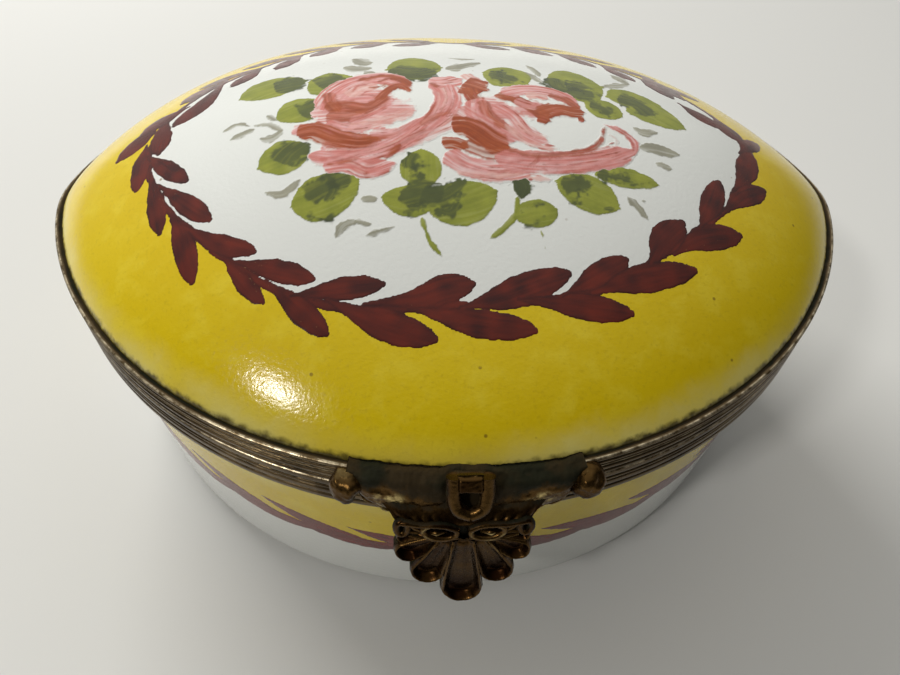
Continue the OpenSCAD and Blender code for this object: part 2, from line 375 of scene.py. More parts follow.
def ring_reach():
    """The stem's distance from the middle along each angle, smoothed."""
    p = np.array(RING)
    angle, r = np.arctan2(p[:, 1], p[:, 0]), np.hypot(*p.T)

    def basis(a):
        waves = [np.cos(0 * a)] + [f(k * a) for k in range(1, 7) for f in (np.cos, np.sin)]
        return np.stack(waves, -1)

    fit = np.linalg.lstsq(basis(angle), r, rcond=None)[0]
    return basis(EDGE_ANGLE) @ fit


STEM_REACH = ring_reach()


def stem_at(angle):
    """Plan points of the wreath's stem at the given angles."""
    r = np.interp((angle + math.pi) % (2 * math.pi) - math.pi, EDGE_ANGLE, STEM_REACH)
    return np.stack([r * np.cos(angle), r * np.sin(angle)], -1)


def oval_place(x, y):
    """Place of a plan point across the wreath: 1 on its stem, more outside it."""
    return np.hypot(x, y) / np.interp(np.arctan2(y, x), EDGE_ANGLE, STEM_REACH)


def scaled_cap(points, fractions, height):
    """Rings that shrink the given plan points towards the middle, then the middle itself."""
    rings = [np.c_[points * f, height(points[:, 0] * f, points[:, 1] * f)] for f in fractions]
    return np.concatenate(rings), np.array([[0.0, 0.0, float(height(np.array([0.0]), np.array([0.0]))[0])]])


def shell(name, outside, inside, cap_out, cap_in, body, mat, node, zone, n=420, steps=90):
    """A walled shell: profile rings outside, a cap, the mouth, then the inner face and its cap."""
    p, normal = outline(n)

    def rings(profile):
        return [np.c_[p - normal * d, np.full(n, z)] for d, z in profile]

    shares = np.cos(np.linspace(0, math.pi / 2, steps + 1))[1:-1]
    out_rings, in_rings = rings(outside), rings(inside)
    a, a_mid = scaled_cap(out_rings[-1][:, :2], shares, cap_out)
    b, b_mid = scaled_cap(in_rings[-1][:, :2], shares, cap_in)
    first = np.concatenate([a_mid, a.reshape(-1, n, 3)[::-1].reshape(-1, 3), *out_rings[::-1]])
    second = np.concatenate([*in_rings, b])
    verts = np.concatenate([first, second, b_mid])
    total = (len(verts) - 2) // n
    faces = [[0, 1 + (i + 1) % n, 1 + i] for i in range(n)]
    faces += (grid_faces(total, n, False, True)[:, ::-1] + 1).tolist()
    last = 1 + (total - 1) * n
    faces += [[len(verts) - 1, last + i, last + (i + 1) % n] for i in range(n)]
    obj = make(name, verts, faces, body, mat, (node,), {"zone": zone(verts)})
    bm = bmesh.new()
    bm.from_mesh(obj.data)
    bmesh.ops.recalc_face_normals(bm, faces=bm.faces)
    bm.to_mesh(obj.data)
    bm.free()


LID_FOOT = float(LID_LOW[2])
LID_WALL = 2.0
LID_IN_Z = LID_Z1 + 0.9
# Profiles of the lid's wall, as distances in from its outer or inner face, and heights.
LID_ROUND = ((0.35, LID_FOOT), (0.1, LID_FOOT + 0.08), (0.0, LID_FOOT + 0.35))
LID_OUTSIDE = (*LID_ROUND, (0.0, LID_Z1 - 0.4), (0.0, LID_Z1))
LID_INSIDE = ((-0.3, LID_FOOT), (-0.05, LID_FOOT + 0.1), (0.0, LID_FOOT + 0.4), (0.0, LID_IN_Z))
# Values of the glaze's zone attribute: at the porcelain's edge, and where no dirt or pale edge reaches.
EDGE_ZONE, CLEAN_ZONE = 0.95, 20.0


def lid_zone(v):
    """The glaze's zone attribute on the lid's points."""
    depth, off_dome = inset(v[:, 0], v[:, 1]) - SKIN, np.abs(v[:, 2] - dome(v[:, 0], v[:, 1]))
    inner = (off_dome > 0.02) & (depth > 0.5)
    border = np.where(inner, 0.0, oval_place(v[:, 0], v[:, 1]))
    depth = np.where(inner & (v[:, 2] > LID_Z0 + 1.0), CLEAN_ZONE, depth + EDGE_ZONE)
    return np.c_[depth, border, np.zeros(len(v))]


def lid_inner(x, y):
    """Height of the lid's inner face: the outer dome, narrowed and lowered by the wall."""
    middle = np.zeros(1)
    squeeze = reach(middle, SKIN)[0] / reach(middle, SKIN + LID_WALL)[0]
    return dome(x * squeeze, y * squeeze, LID_IN_Z, CROWN_Z - LID_WALL - LID_IN_Z)


shell(
    "lid_porcelain",
    [(SKIN + d, z) for d, z in LID_OUTSIDE],
    [(SKIN + LID_WALL + d, z) for d, z in LID_INSIDE],
    dome,
    lid_inner,
    "lid",
    LID_GLAZE,
    "lid",
    lid_zone,
)

TAPER = 0.7
BOWL_WALL = 2.1
FLOOR = 2.6


def bowl_side(z):
    """Inset of the bowl's outer face at height z: a straight lean, with a soft swell under the band."""
    share = np.clip(z / BOWL_Z0, 0, 1)
    return BOWL_SKIN + TAPER * (1 - share) ** 1.15


def bowl_outside():
    """Outer profile from the lip down to the rounded bottom corner."""
    r = 1.5
    turn = np.linspace(0, math.pi / 2, 9)
    corner = [(bowl_side(r) + r * (1 - math.sin(a)), r * (1 - math.cos(a))) for a in turn]
    wall = [(float(bowl_side(z)), z) for z in np.linspace(r, BOWL_Z0, 26)[1:]]
    lip = [(BOWL_SKIN, BOWL_TOP - 0.35), (BOWL_SKIN + 0.1, BOWL_TOP - 0.08), (BOWL_SKIN + 0.35, BOWL_TOP)]
    return (corner + wall + lip)[::-1]


def bowl_inside():
    """Inner profile from the lip down into the rounded floor corner."""
    r = 3
    top = [(BOWL_SKIN + BOWL_WALL - 0.3, BOWL_TOP), (BOWL_SKIN + BOWL_WALL - 0.05, BOWL_TOP - 0.1)]
    wall = [(float(bowl_side(z)) + BOWL_WALL, z) for z in np.linspace(BOWL_TOP - 0.4, FLOOR + r, 20)]
    d = float(bowl_side(FLOOR + r)) + BOWL_WALL
    turn = np.linspace(0, math.pi / 2, 10)[1:]
    return top + wall + [(d + r * (1 - math.cos(a)), FLOOR + r - r * math.sin(a)) for a in turn]


GARLAND_Z = 9.1


def bowl_zone(v):
    """The glaze's zone attribute on the bowl's points."""
    outer = inset(v[:, 0], v[:, 1]) < BOWL_SKIN + TAPER + 0.4
    border = np.where(outer, 1.0 + (v[:, 2] - GARLAND_Z) * 0.06, 0.0)
    depth = np.where(outer, 1.2 + (BOWL_Z0 - v[:, 2]), CLEAN_ZONE)
    return np.c_[depth, border, np.zeros(len(v))]


shell(
    "bowl_porcelain",
    bowl_outside(),
    bowl_inside(),
    lambda x, y: np.zeros_like(x),
    lambda x, y: np.full_like(x, FLOOR),
    "base",
    BOWL_GLAZE,
    "bowl",
    bowl_zone,
    steps=24,
)

# ---------------------------------------------------------------- painted enamel

# Brush strokes on the lid, in millimetres: paint and strength where they differ, half width, then x, y of
# each plan point in turn.
WREATH = (
    (0.97, -22.2, 2.3, -23.3, 0.3, -24.9, -1.3),
    (0.77, -21.6, 1.9, -21.4, -0.5, -21.2, -2.5),
    (0.74, -22.6, -0.9, -22.5, -2.6, -22.3, -5.5),
    (0.66, -22.2, -2.3, -20.5, -4.1, -18.4, -6.1),
    (0.68, -21.5, -4.1, -20.5, -7.2, -19.7, -9.8),
    (0.72, -20.6, -5.7, -18.3, -7.9, -16.2, -9.8),
    (0.75, -19.3, -8.1, -17.9, -11, -16.9, -13.8),
    (0.67, -18.2, -9.7, -15.4, -11.6, -12.9, -12.6),
    (0.55, -15, -12.6, -13.6, -14.4, -12.1, -15.9),
    (0.7, -14.3, -13, -11.7, -13.9, -9.1, -14.8),
    (0.73, -12, -14.6, -10, -16.4, -8.1, -18.1),
    (0.71, -10.4, -15.7, -7.6, -15.5, -4.8, -15.3),
    (0.9, -8.2, -16.1, -5, -17.6, -1.7, -18.6),
    (0.87, -5.9, -16.5, -2.8, -16.2, -0.9, -15.6, 0.7, -15.3),
    (0.82, -3.2, -16.8, 0.5, -17.6, 4.4, -18),
    (0.95, 0, -16.8, 3, -15.9, 6.7, -14.4),
    (0.83, 3.5, -16.2, 7.1, -16.4, 10.6, -16.6),
    (0.8, 6.3, -15.8, 8.5, -14.5, 10.7, -13.1),
    (0.9, 8.2, -15.5, 11.2, -14.4, 15.4, -13.1),
    (1, 12.3, -13.1, 13.4, -11.5, 15.1, -9.7),
    (0.92, 14.1, -12.2, 16.5, -10.6, 19.6, -9.5),
    (0.81, 16.4, -9.8, 17.6, -7.8, 19, -5.1),
    (0.87, 18.6, -8, 20.7, -5.9, 23.1, -4.3),
    (0.89, 20.2, -5.4, 21.8, -3.1, 23.3, -0.1),
    (0.75, 22, -0.8, 23.4, 0.9, 25, 2.5),
    (1.05, 21.6, 5, 22.1, 3, 22.8, 1.3),
    (0.95, 18.6, 5.2, 19.8, 3.8, 21.6, 2.6),
    (0.95, 16.4, 12.2, 17.9, 9.7, 19.5, 6.8),
    (0.95, -18.2, 7.6, -19, 3.1, -20.7, 0.6),
    (0.96, -18.2, 7.4, -19.8, 6.2, -21.2, 4.7),
    (0.95, -20.3, 3.3, -21.9, 2.3, -23.6, 1.3),
)
LEAVES = (
    ("olive", 1.9, -15.9, 2.2, -13.7, 3.4, -11.1, 4),
    ("olive", 2.33, -10.9, 3.6, -9.2, 3.3, -7.7, 4.1),
    ("olive", 1.62, -12.6, -1.5, -11, -0.6, -9.4, -0.2),
    ("olive", 1.66, -13.3, -6.2, -11.6, -5.4, -10.2, -4.5),
    ("olive", 1.86, -10.8, -9.7, -8.8, -9.1, -6.5, -7.8),
    ("olive", 2.65, -5, 5.3, -2.9, 5.7, -0.8, 5.8),
    ("olive", 1.49, -2.4, -8.6, -2.4, -7, -2.4, -5.3),
    ("olive", 1.26, -1, -9.3, -3.1, -9.6, -5, -9.3),
    ("olive", 1.74, -2.2, -10, 0.2, -9.7, 2.5, -8.7),
    ("olive", 2.25, 2.4, 5.1, 4.1, 4.5, 5.7, 3.3),
    ("olive", 3.17, 7.4, 4.2, 9.6, 4.4, 11.8, 4.7),
    ("olive", 1.5, 9.8, 1.4, 11.2, 0.7, 12.5, 0),
    ("olive", 2.19, 11.9, 2.9, 13.7, 3.1, 15.3, 1.6, 17.6, 0.3),
    ("olive", 0.97, 9.3, -6.7, 11.6, -6.6, 13.9, -6.8),
    ("olive", 1.61, 6.6, -7.6, 8.8, -8.4, 10.7, -9.3),
    ("dark", 0.62, 3.6, -7.4, 4.2, -8.1, 4.1, -9.3),
    ("olive", 1.13, 3.6, -10.7, 5, -10.3, 6.5, -9.9),
)
TWIGS = (
    (0.22, -2.4, -10.8, -1.9, -12.5, -1.1, -13.6),
    (0.26, 3.9, -9, 3.5, -10.7, 1.9, -12.3),
    (0.07, 5.2, -11.5, 5.4, -12.4, 5.4, -13.3),
    (0.43, -2.4, -8.5, -2.4, -10),
)
CORES = (
    (1.33, -13.5, 3.3, -12.4, 3.6, -11.2, 4),
    (1.42, -10, 2.6, -9.1, 3.2, -8, 3.7),
    (1.21, -11, -1.1, -10.2, -0.6, -9.5, 0),
    (1.04, -11.7, -6.1, -11.2, -5.2, -10.3, -4.3),
    (0.81, -10, -9.1, -8.6, -8.3, -7, -7.6),
    (0.52, -8.7, -9.5, -8.2, -8.5, -9.1, -7.3),
    (0.21, -9.7, -10.5, -8, -10.7, -6.7, -9.1),
    (1.38, -4.9, 5.2, -2.7, 4.4, -1.4, 4.9),
    (0.53, -2.7, -5.7, -3, -6.6, -2.4, -7.9),
    (0.37, -3.3, -6.8, -2, -6.8),
    (0.93, -0.9, -9, -2.6, -9.1, -3.8, -9.4),
    (0.24, -3.7, -10.6, -2.3, -10.3),
    (0.82, -2.5, -9.1, -1.2, -9.3, 0.4, -8.1),
    (0.41, -1.6, -10.2, -0.5, -10.4, 0.2, -8.9),
    (0.95, 2.8, 4.5, 3.9, 4.4, 5, 3.7),
    (0.23, 3.9, 6.1, 3.7, 3),
    (1.02, 7.9, 5.2, 8, 3.2, 9.5, 2.8, 10.9, 3),
    (0.95, 8.7, 4.1, 10.5, 4),
    (0.69, 10.1, 1, 11.1, 0.7, 11.4, -0.1),
    (1.07, 12.7, 3, 14.2, 2.5, 15.2, 1),
    (0.59, 9.5, -6.7, 10.9, -6.7, 11.8, -7),
    (0.12, 11.9, -7.3, 13.3, -6.7),
    (0.78, 6.9, -7.8, 8, -7.7, 8.9, -7.4),
    (0.22, 7.2, -9.2, 8.2, -9.4),
    (0.09, 8.6, -9.7, 10.3, -9.5),
    (0.13, 3.8, -10.1, 5.6, -9.6),
    (0.14, 4.2, -11.4, 6.1, -10.5),
    (0.26, 8, -7.9, 8, -9.1),
    (0.53, 3.7, -7.5, 4.3, -8.2, 4, -9.1),
)
SPRAYS = (
    (0.3, -16.5, -2, -15.5, -1.4, -14.5, -1.8),
    (0.43, -15.8, -3, -14.9, -2.6, -14, -2.2),
    (0.34, -14.2, -1.8, -13.1, -2, -11.9, -2.9),
    (0.51, -13.6, -3.4, -12.7, -3.4, -12, -2.7),
    (0.32, -13.4, -0.8, -12.6, -1.6),
    (0.44, -12.7, -8.3, -11.4, -8.6, -10.3, -7.5),
    (0.38, -7.8, -12.2, -7.3, -11.3, -6.3, -11),
    (0.25, -6.7, -11, -5.5, -11.3),
    (0.31, -6, -12.1, -5.1, -11.8, -4.1, -11.5),
    (0.37, -6.3, -9.4, -5.7, -9.4, -5.2, -9.4),
    (0.78, -8.5, 6.4, -7.3, 5.7, -6.2, 5.8),
    (0.88, -7.8, 8.7, -6.9, 7.3, -6.2, 7.2),
    (0.58, -6.8, 4.5, -5.9, 4.9),
    (0.5, -1.1, 9.3, 0.7, 8.8),
    (0.79, -0.4, 5.5, 0.7, 5.9),
    (0.58, -1.1, 9.5, 1.3, 8.6, 4.1, 11.9),
    (0.69, -0.5, 5.4, 1, 6.5, 2.4, 7.6),
    (0.28, 0.7, 11.9, 1.4, 7.5),
    (0.49, 5.5, 6, 6.1, 5.2, 6.9, 3.8),
    (0.44, 6.1, 7.8, 6.6, 6.5, 6.9, 5.1),
    (0.53, 11.7, 4.6, 13.3, 5.7, 14.7, 6.8),
    (0.76, 13.7, 9, 14.1, 7.7, 14.5, 6.6),
    (0.55, 13.1, -1.1, 13.9, -1.5, 15.1, -1.1),
    (0.71, 13, -3.4, 14.6, -3.2, 16.4, -3.3),
    (0.46, 14.1, -4.7, 15.3, -5),
    (0.39, 11.4, -8.2, 12, -9, 12.6, -9.9),
    (0.2, 12.4, -8.4, 12.8, -8.4),
)
ROSES = (
    ("pink", 0.8, 1.18, -9.3, -1, -8.7, 1.3, -7.3, 3, -5.2, 3.6, -3.3, 2),
    ("pink", 0.7, 1.62, -8.5, -0.4, -6.7, 0, -4.8, -0.1),
    ("pale", 0.8, 0.72, -7.6, 0.6, -6.8, 1.8, -5.5, 2.1),
    ("rust", 0.85, 0.53, -5.6, -0.1, -4.9, 1.3, -4, 2.2, -3.2, 1.1),
    ("rust", 0.7, 0.3, -5.7, 2.8, -4.4, 3.4, -3.4, 2.1),
    ("deep", 0.7, 0.25, -7.4, 1.2, -7.1, 2.2, -6.3, 2.5),
    ("rust", 0.8, 0.74, -9.3, -0.7, -7.9, -0.5, -6.1, -0.9, -4.8, 0.4),
    ("rust", 0.7, 0.75, -9.1, -1.6, -7.6, -1.8, -6, -1.4),
    ("pale", 0.6, 0.64, -7.6, -3.2, -5.6, -2.6, -3.9, -2, -3, -1.3),
    ("pink", 0.55, 0.46, -7.4, -2.5, -5.8, -1.6, -4.4, -0.4),
    ("pink", 0.8, 0.5, -9, -2.4, -7.4, -3.2, -5.9, -3.1),
    ("pink", 0.7, 0.62, -11.4, -3.2, -9.9, -2.8, -8.3, -3.5, -6.3, -4.4),
    ("rust", 0.92, 0.97, -11, -3.4, -9.8, -3.2, -8.3, -4.1, -6.6, -4.6, -5.3, -4.4),
    ("rust", 0.75, 0.37, -6.8, -4.1, -4.5, -4, -2.9, -2.9, -1.6, -2, 0.4, -1.2),
    ("pink", 0.7, 0.47, -6, -3.7, -4.1, -3.6, -2.2, -2.2),
    ("pink", 0.75, 0.84, -10.1, -5.5, -8.2, -5.9, -6, -5.7, -3.9, -4.7, -1.9, -2.7, 0.3, -0.3),
    ("pink", 0.8, 0.78, -9, -6.6, -7.2, -6.5, -5.9, -7.1, -4.2, -6.5),
    ("rust", 0.8, 0.25, -8.7, -6.5, -7.5, -6.3, -6.2, -5.8),
    ("rust", 0.5, 0.27, -6.2, -7.5, -5.8, -7.3),
    ("rust", 0.75, 0.32, -4.9, -6.4, -4, -5.2, -2.6, -3.9, -1.3, -2.9),
    ("deep", 0.5, 0.24, -9.2, -6, -8.2, -5.8, -6.7, -5.4),
    ("pink", 0.5, 0.7, -3.8, -4.9, -2.3, -4, -0.7, -3.1, 0.2, -2.4),
    ("pink", 0.8, 0.46, -1.7, 3.1, -1, 0.8, -1.5, -1.5, -2.2, -2.5),
    ("rust", 0.8, 0.27, -1.8, 2.6, -1.1, 1.7),
    ("pale", 0.8, 0.42, -1.2, 2.8, -0.5, 0.8, -1, -1.5),
    ("pink", 0.7, 0.41, -2.3, -2.7, -1, -1.2, 0.3, 0.2),
    ("pink", 0.75, 1, -1.9, 2.8, -0.7, 2.7, 0.6, 3.4),
    ("pink", 0.8, 0.48, -1.7, 2.4, -1, 0.5, -1.5, -1.7, -2.5, -3.4),
    ("pink", 0.75, 0.6, -0.3, 2.5, 0, 0.2, -0.6, -1.9, -2, -3.5),
    ("pale", 0.7, 0.6, 0.9, 4.5, 1.5, 3.5, 2.2, 2.1),
    ("rust", 0.7, 0.28, -1.8, 2.6, -1, 1.8),
    ("rust", 0.6, 0.39, -2.5, -3, -1.5, -2.1, -0.1, -1.5),
    ("rust", 0.95, 1.41, 0.7, 2.5, 1.4, 2.2, 2.3, 1.7),
    ("rust", 0.8, 0.72, 1.1, 2, 1.3, 0.7, 1.7, -0.2),
    ("pink", 0.85, 1.07, 1.8, 0.4, 1.8, -1.8, 3, -3.3, 4.3, -4.1),
    ("rust", 0.65, 0.57, 2, 0.2, 2.5, -1.7, 3.7, -3.2),
    ("pink", 0.6, 0.77, 0.1, -1, 1.3, -2.1, 2.6, -3.1),
    ("rust", 0.85, 0.67, 2.9, 1, 4.3, 0.7, 5.7, -0.5, 6.8, -1.8),
    ("pink", 0.7, 0.76, 2.8, -0.5, 4, -1.6, 4.9, -3.3, 6.3, -4.2),
    ("pink", 0.85, 0.9, 3.5, 1.3, 5.4, 2.3, 7.5, 2.2, 9.1, 0.5),
    ("pink", 0.7, 0.61, 4.4, 0.5, 5.3, 0, 6.3, -0.1),
    ("pale", 0.9, 0.58, 5.3, 1.3, 6.2, 1.4, 7, 1.1),
    ("rust", 0.92, 0.86, 6, -1.1, 7.5, -0.2, 8.6, -0.3, 9.5, -0.2),
    ("rust", 0.8, 0.52, 7, 1.7, 8.3, 1.3, 9.2, 0.2),
    ("deep", 0.7, 0.19, 5.4, 0.8, 6.3, 0.6),
    ("rust", 0.95, 0.41, 8.9, -1.1, 9.4, -1.2),
    ("rust", 0.9, 0.53, 5.9, -1.5, 6.7, -1.8),
    ("pale", 0.7, 0.36, 3.4, -2.5, 4.6, -4.1, 6, -4.6, 7.2, -4.6),
    ("pale", 0.6, 0.34, 4.1, -2.1, 5.2, -3.3, 6.4, -3.7),
    ("rust", 0.95, 1.08, -0.3, -3, 0.9, -3, 2.4, -4.3, 3.5, -4.9),
    ("rust", 0.85, 0.69, -1, -4.8, -0.2, -4.7, 0.7, -5.1),
    ("rust", 0.6, 0.67, 0.3, -4.7, 2.2, -5.5, 3.7, -5.1),
    ("pink", 0.85, 0.93, -0.8, -5.6, 0.8, -6.8, 2.9, -7.1, 5.4, -6.4),
    ("pale", 0.9, 0.31, -0.1, -7.3, 2.4, -7.5, 4.4, -7.1),
    ("pink", 0.8, 1.04, 2.5, -5.9, 5, -6.1, 7.9, -5.8, 10.5, -5, 12.6, -3.9),
    ("rust", 0.6, 0.35, 3, -4.8, 5, -5.5, 7.6, -5.1, 9.9, -3.9, 10.9, -1.6),
    ("pink", 0.7, 0.45, 5.4, -6.6, 7.8, -6.4, 10.8, -5.3, 12.8, -4),
    ("pink", 0.8, 0.39, 12.8, -4, 12.8, -2.8, 12.1, -1.9, 10.8, -1.4),
    ("deep", 0.7, 0.21, 12.6, -4, 12.6, -2.8, 11.7, -2),
    ("deep", 0.6, 0.15, 10.7, -1.6, 10.4, -3.3, 9.5, -4.2),
    ("deep", 0.4, 0.22, 10.9, -2.4, 11.5, -3.1, 10.7, -4.7),
    ("rust", 0.6, 0.13, 6.9, -5.3, 9.1, -4.7, 11.4, -3.3),
    ("deep", 0.6, 0.12, 4.9, -6.4, 6.8, -6.8, 9.2, -6.1, 12.2, -4.5),
    ("deep", 0.5, 0.17, 0.5, -5.3, 2.8, -6.3, 5.3, -5.9),
    ("deep", 0.45, 0.12, -0.4, -6.3, 1.6, -7.2, 3.9, -7.1),
    ("rust", 0.5, 0.14, 4.4, -7, 5.3, -6.1, 5.9, -5.2),
    ("pale", 0.6, 0.31, 4.5, -7.5, 6.4, -7.5),
    ("deep", 0.5, 0.15, 11.9, -3, 12.2, -4.4),
    ("rust", 0.7, 0.6, -9.1, 1.5, -8.9, 0.1, -8.2, -1.2),
    ("rust", 0.85, 0.42, -7.3, 3.1, -5, 3.9, -3.2, 2.4),
    ("rust", 0.9, 0.5, -4.7, 3.6, -3.8, 3.1, -3.2, 2),
    ("rust", 0.7, 0.22, -6.4, 1.9, -5.5, 1.9, -4.9, 2.6),
)
PAINTS = {
    "maroon": ((0.155, 0.014, 0.004), (0.042, 0.003, 0.002)),
    "wine": ((0.24, 0.034, 0.028), (0.13, 0.017, 0.015)),
    "olive": ((0.335, 0.355, 0.042), (0.215, 0.245, 0.026)),
    "dark": ((0.042, 0.056, 0.022), (0.085, 0.105, 0.030)),
    "grey": ((0.40, 0.385, 0.29), (0.28, 0.27, 0.20)),
    "pink": ((0.80, 0.44, 0.43), (0.62, 0.19, 0.16)),
    "pale": ((0.80, 0.52, 0.47), (0.72, 0.36, 0.31)),
    "rust": ((0.45, 0.098, 0.024), (0.30, 0.050, 0.010)),
    "deep": ((0.56, 0.13, 0.095), (0.44, 0.09, 0.06)),
}


# Fine hairs drawn into each paint of the roses: how many a stroke gets, and their own paints.
HAIRS = {
    "pink": (7, ("rust", "rust", "pale")),
    "rust": (3, ("deep", "deep", "rust")),
    "pale": (4, ("pink", "pink", "deep")),
    "deep": (0, ()),
}


def value_noise(u, v, seed):
    """Smooth random values from 0 to 1 over (u, v)."""
    rng = np.random.default_rng(seed)
    table = rng.random((64, 64))
    i, j = np.floor(u).astype(int), np.floor(v).astype(int)
    a, b = u - i, v - j
    a, b = a * a * (3 - 2 * a), b * b * (3 - 2 * b)

    def at(di, dj):
        return table[(i + di) % 64, (j + dj) % 64]

    return (at(0, 0) * (1 - a) + at(1, 0) * a) * (1 - b) + (at(0, 1) * (1 - a) + at(1, 1) * a) * b


def spline(points, n=90):
    """A smooth line through the points."""
    p = np.asarray(points, float)
    if len(p) == 2:
        return p[0] + (p[1] - p[0]) * np.linspace(0, 1, n)[:, None]
    q = np.concatenate([[2 * p[0] - p[1]], p, [2 * p[-1] - p[-2]]])
    out = []
    for k in range(1, len(q) - 2):
        t = np.linspace(0, 1, n // (len(p) - 1), endpoint=False)[:, None]
        a, b, c, d = q[k - 1 : k + 3]
        cubic = (2 * a - 5 * b + 4 * c - d) * t**2 + (3 * b - a - 3 * c + d) * t**3
        out.append(0.5 * (2 * b + (c - a) * t + cubic))
    return np.concatenate([*out, [p[-1]]])


def smooth_step(value, low, high):
    """0 below low, 1 above high, and a smooth rise between them."""
    t = np.clip((value - low) / (high - low), 0, 1)
    return t * t * (3 - 2 * t)


def leaf_width(t):
    """A leaf's share of its full width: narrow at the stem, widest past the middle, with a round tip."""
    tip = np.sqrt(np.clip(1 - ((t - 0.62) / 0.4) ** 2, 0, 1))
    return np.where(t < 0.62, 0.20 + 0.80 * smooth_step(t, 0.0, 0.60), tip)


# Share of the full width along each kind of stroke.
BRUSH = {
    "leaf": leaf_width,
    "oval": lambda t: np.clip(np.sin(math.pi * np.clip(t, 0.004, 0.996)), 0, 1) ** 0.55,
    "willow": lambda t: np.sin(math.pi * np.clip(t, 0.004, 0.996)) ** 0.85,
    "stroke": lambda t: np.sqrt(np.clip(t / 0.10, 0, 1)) * np.sqrt(np.clip((1.02 - t) / 0.2, 0, 1)),
}


class Canvas:
    """Enamel laid on, stroke over stroke, over a fine grid of plan points."""

    def __init__(self, x0, x1, y0, y1, step):
        self.x, self.y = np.arange(x0, x1, step), np.arange(y0, y1, step)
        self.gx, self.gy = np.meshgrid(self.x, self.y, indexing="ij")
        self.rgb = np.zeros(self.gx.shape + (3,))
        self.cover = np.zeros(self.gx.shape)

    def lay(
        self,
        points,
        half,
        paint,
        brush="stroke",
        amount=1.0,
        streak=0.5,
        soft=0.12,
        ragged=0.08,
        seed=1,
        combed=0.35,
    ):
        """One stroke through the points, with a ragged edge and bristle streaks along it."""
        line = spline(points)
        low, high = line.min(0) - half - 0.5, line.max(0) + half + 0.5
        i0, i1 = np.searchsorted(self.x, [low[0], high[0]])
        j0, j1 = np.searchsorted(self.y, [low[1], high[1]])
        if i1 - i0 < 2 or j1 - j0 < 2:
            return
        gx, gy = self.gx[i0:i1, j0:j1], self.gy[i0:i1, j0:j1]
        d2 = (gx[..., None] - line[:, 0]) ** 2 + (gy[..., None] - line[:, 1]) ** 2
        k = d2.argmin(-1)
        dist = np.sqrt(np.take_along_axis(d2, k[..., None], -1)[..., 0])
        tangent = np.gradient(line, axis=0)
        along = np.r_[0, np.cumsum(np.hypot(*np.diff(line, axis=0).T))]
        side = np.sign(tangent[k, 0] * (gy - line[k, 1]) - tangent[k, 1] * (gx - line[k, 0]))
        t = k / (len(line) - 1)
        width = half * BRUSH[brush](t)
        edge = width - dist + ragged * 2 * (value_noise(gx * 2.2, gy * 2.2, seed) - 0.5)
        edge += ragged * 0.9 * (value_noise(gx * 6.5, gy * 6.5, seed + 5) - 0.5)
        across = side * dist
        hair = 0.6 * value_noise(across * 6.0 + 31, along[k] * 0.45 + 7, seed + 1)
        hair += 0.4 * value_noise(across * 13.0 + 11, along[k] * 0.9 + 3, seed + 2)
        mask = smooth_step(edge, 0.0, soft) * amount
        outward = np.clip(0.35 + dist / np.maximum(width, 0.05), 0, 1)
        mask *= 1 - streak * smooth_step(1 - hair, 0.42, 0.72) * outward
        first, second = (np.array(c) for c in PAINTS[paint])
        cloud = value_noise(gx * 1.1, gy * 1.1, seed + 3) - 0.5
        tone = np.clip(0.5 + 1.9 * combed * (hair - 0.5) + (1.1 - combed) * cloud, 0, 1)
        rim = smooth_step(0.22 - edge, 0.0, 0.2) * 0.45
        tone = np.clip(tone + rim, 0, 1)[..., None]
        colour = first * (1 - tone) + second * tone
        old, cover = self.rgb[i0:i1, j0:j1], self.cover[i0:i1, j0:j1]
        new = mask + cover * (1 - mask)
        share = (mask / np.maximum(new, 1e-6))[..., None]
        self.rgb[i0:i1, j0:j1] = colour * share + old * (1 - share)
        self.cover[i0:i1, j0:j1] = new

    def piece(self, name, place, body, mat, floor, lift):
        """A thin raised mesh of what was painted. Where cover is below floor it dips under the glaze."""
        used = self.cover > floor * 0.12
        cell = used[:-1, :-1] | used[1:, :-1] | used[:-1, 1:] | used[1:, 1:]
        i, j = np.nonzero(cell)
        cols = len(self.y)
        corners = np.stack([i * cols + j, (i + 1) * cols + j, (i + 1) * cols + j + 1, i * cols + j + 1], -1)
        kept, faces = np.unique(corners, return_inverse=True)
        faces = faces.reshape(-1, 4)
        gx, gy, cover = self.gx.ravel()[kept], self.gy.ravel()[kept], self.cover.ravel()[kept]
        rgb = self.rgb.reshape(-1, 3)[kept]
        empty = cover < 0.02
        rgb[empty] = rgb[~empty].mean(0)
        above = np.maximum(lift[0] + (lift[1] - lift[0]) * smooth_step(cover, floor, 1.0), 0.004)
        rise = np.where(cover < floor, (cover / floor - 1) * 0.014, above)
        make(name, place(gx, gy, rise), faces, body, mat, (), {"paint": rgb, "cover": cover})


def on_lid(x, y, rise):
    """Points over the lid's outer face, raised along its normal."""
    h = 0.02
    gx = (dome(x + h, y) - dome(x - h, y)) / (2 * h)
    gy = (dome(x, y + h) - dome(x, y - h)) / (2 * h)
    size = np.sqrt(1 + gx**2 + gy**2)
    return np.c_[x - gx / size * rise, y - gy / size * rise, dome(x, y) + rise / size]


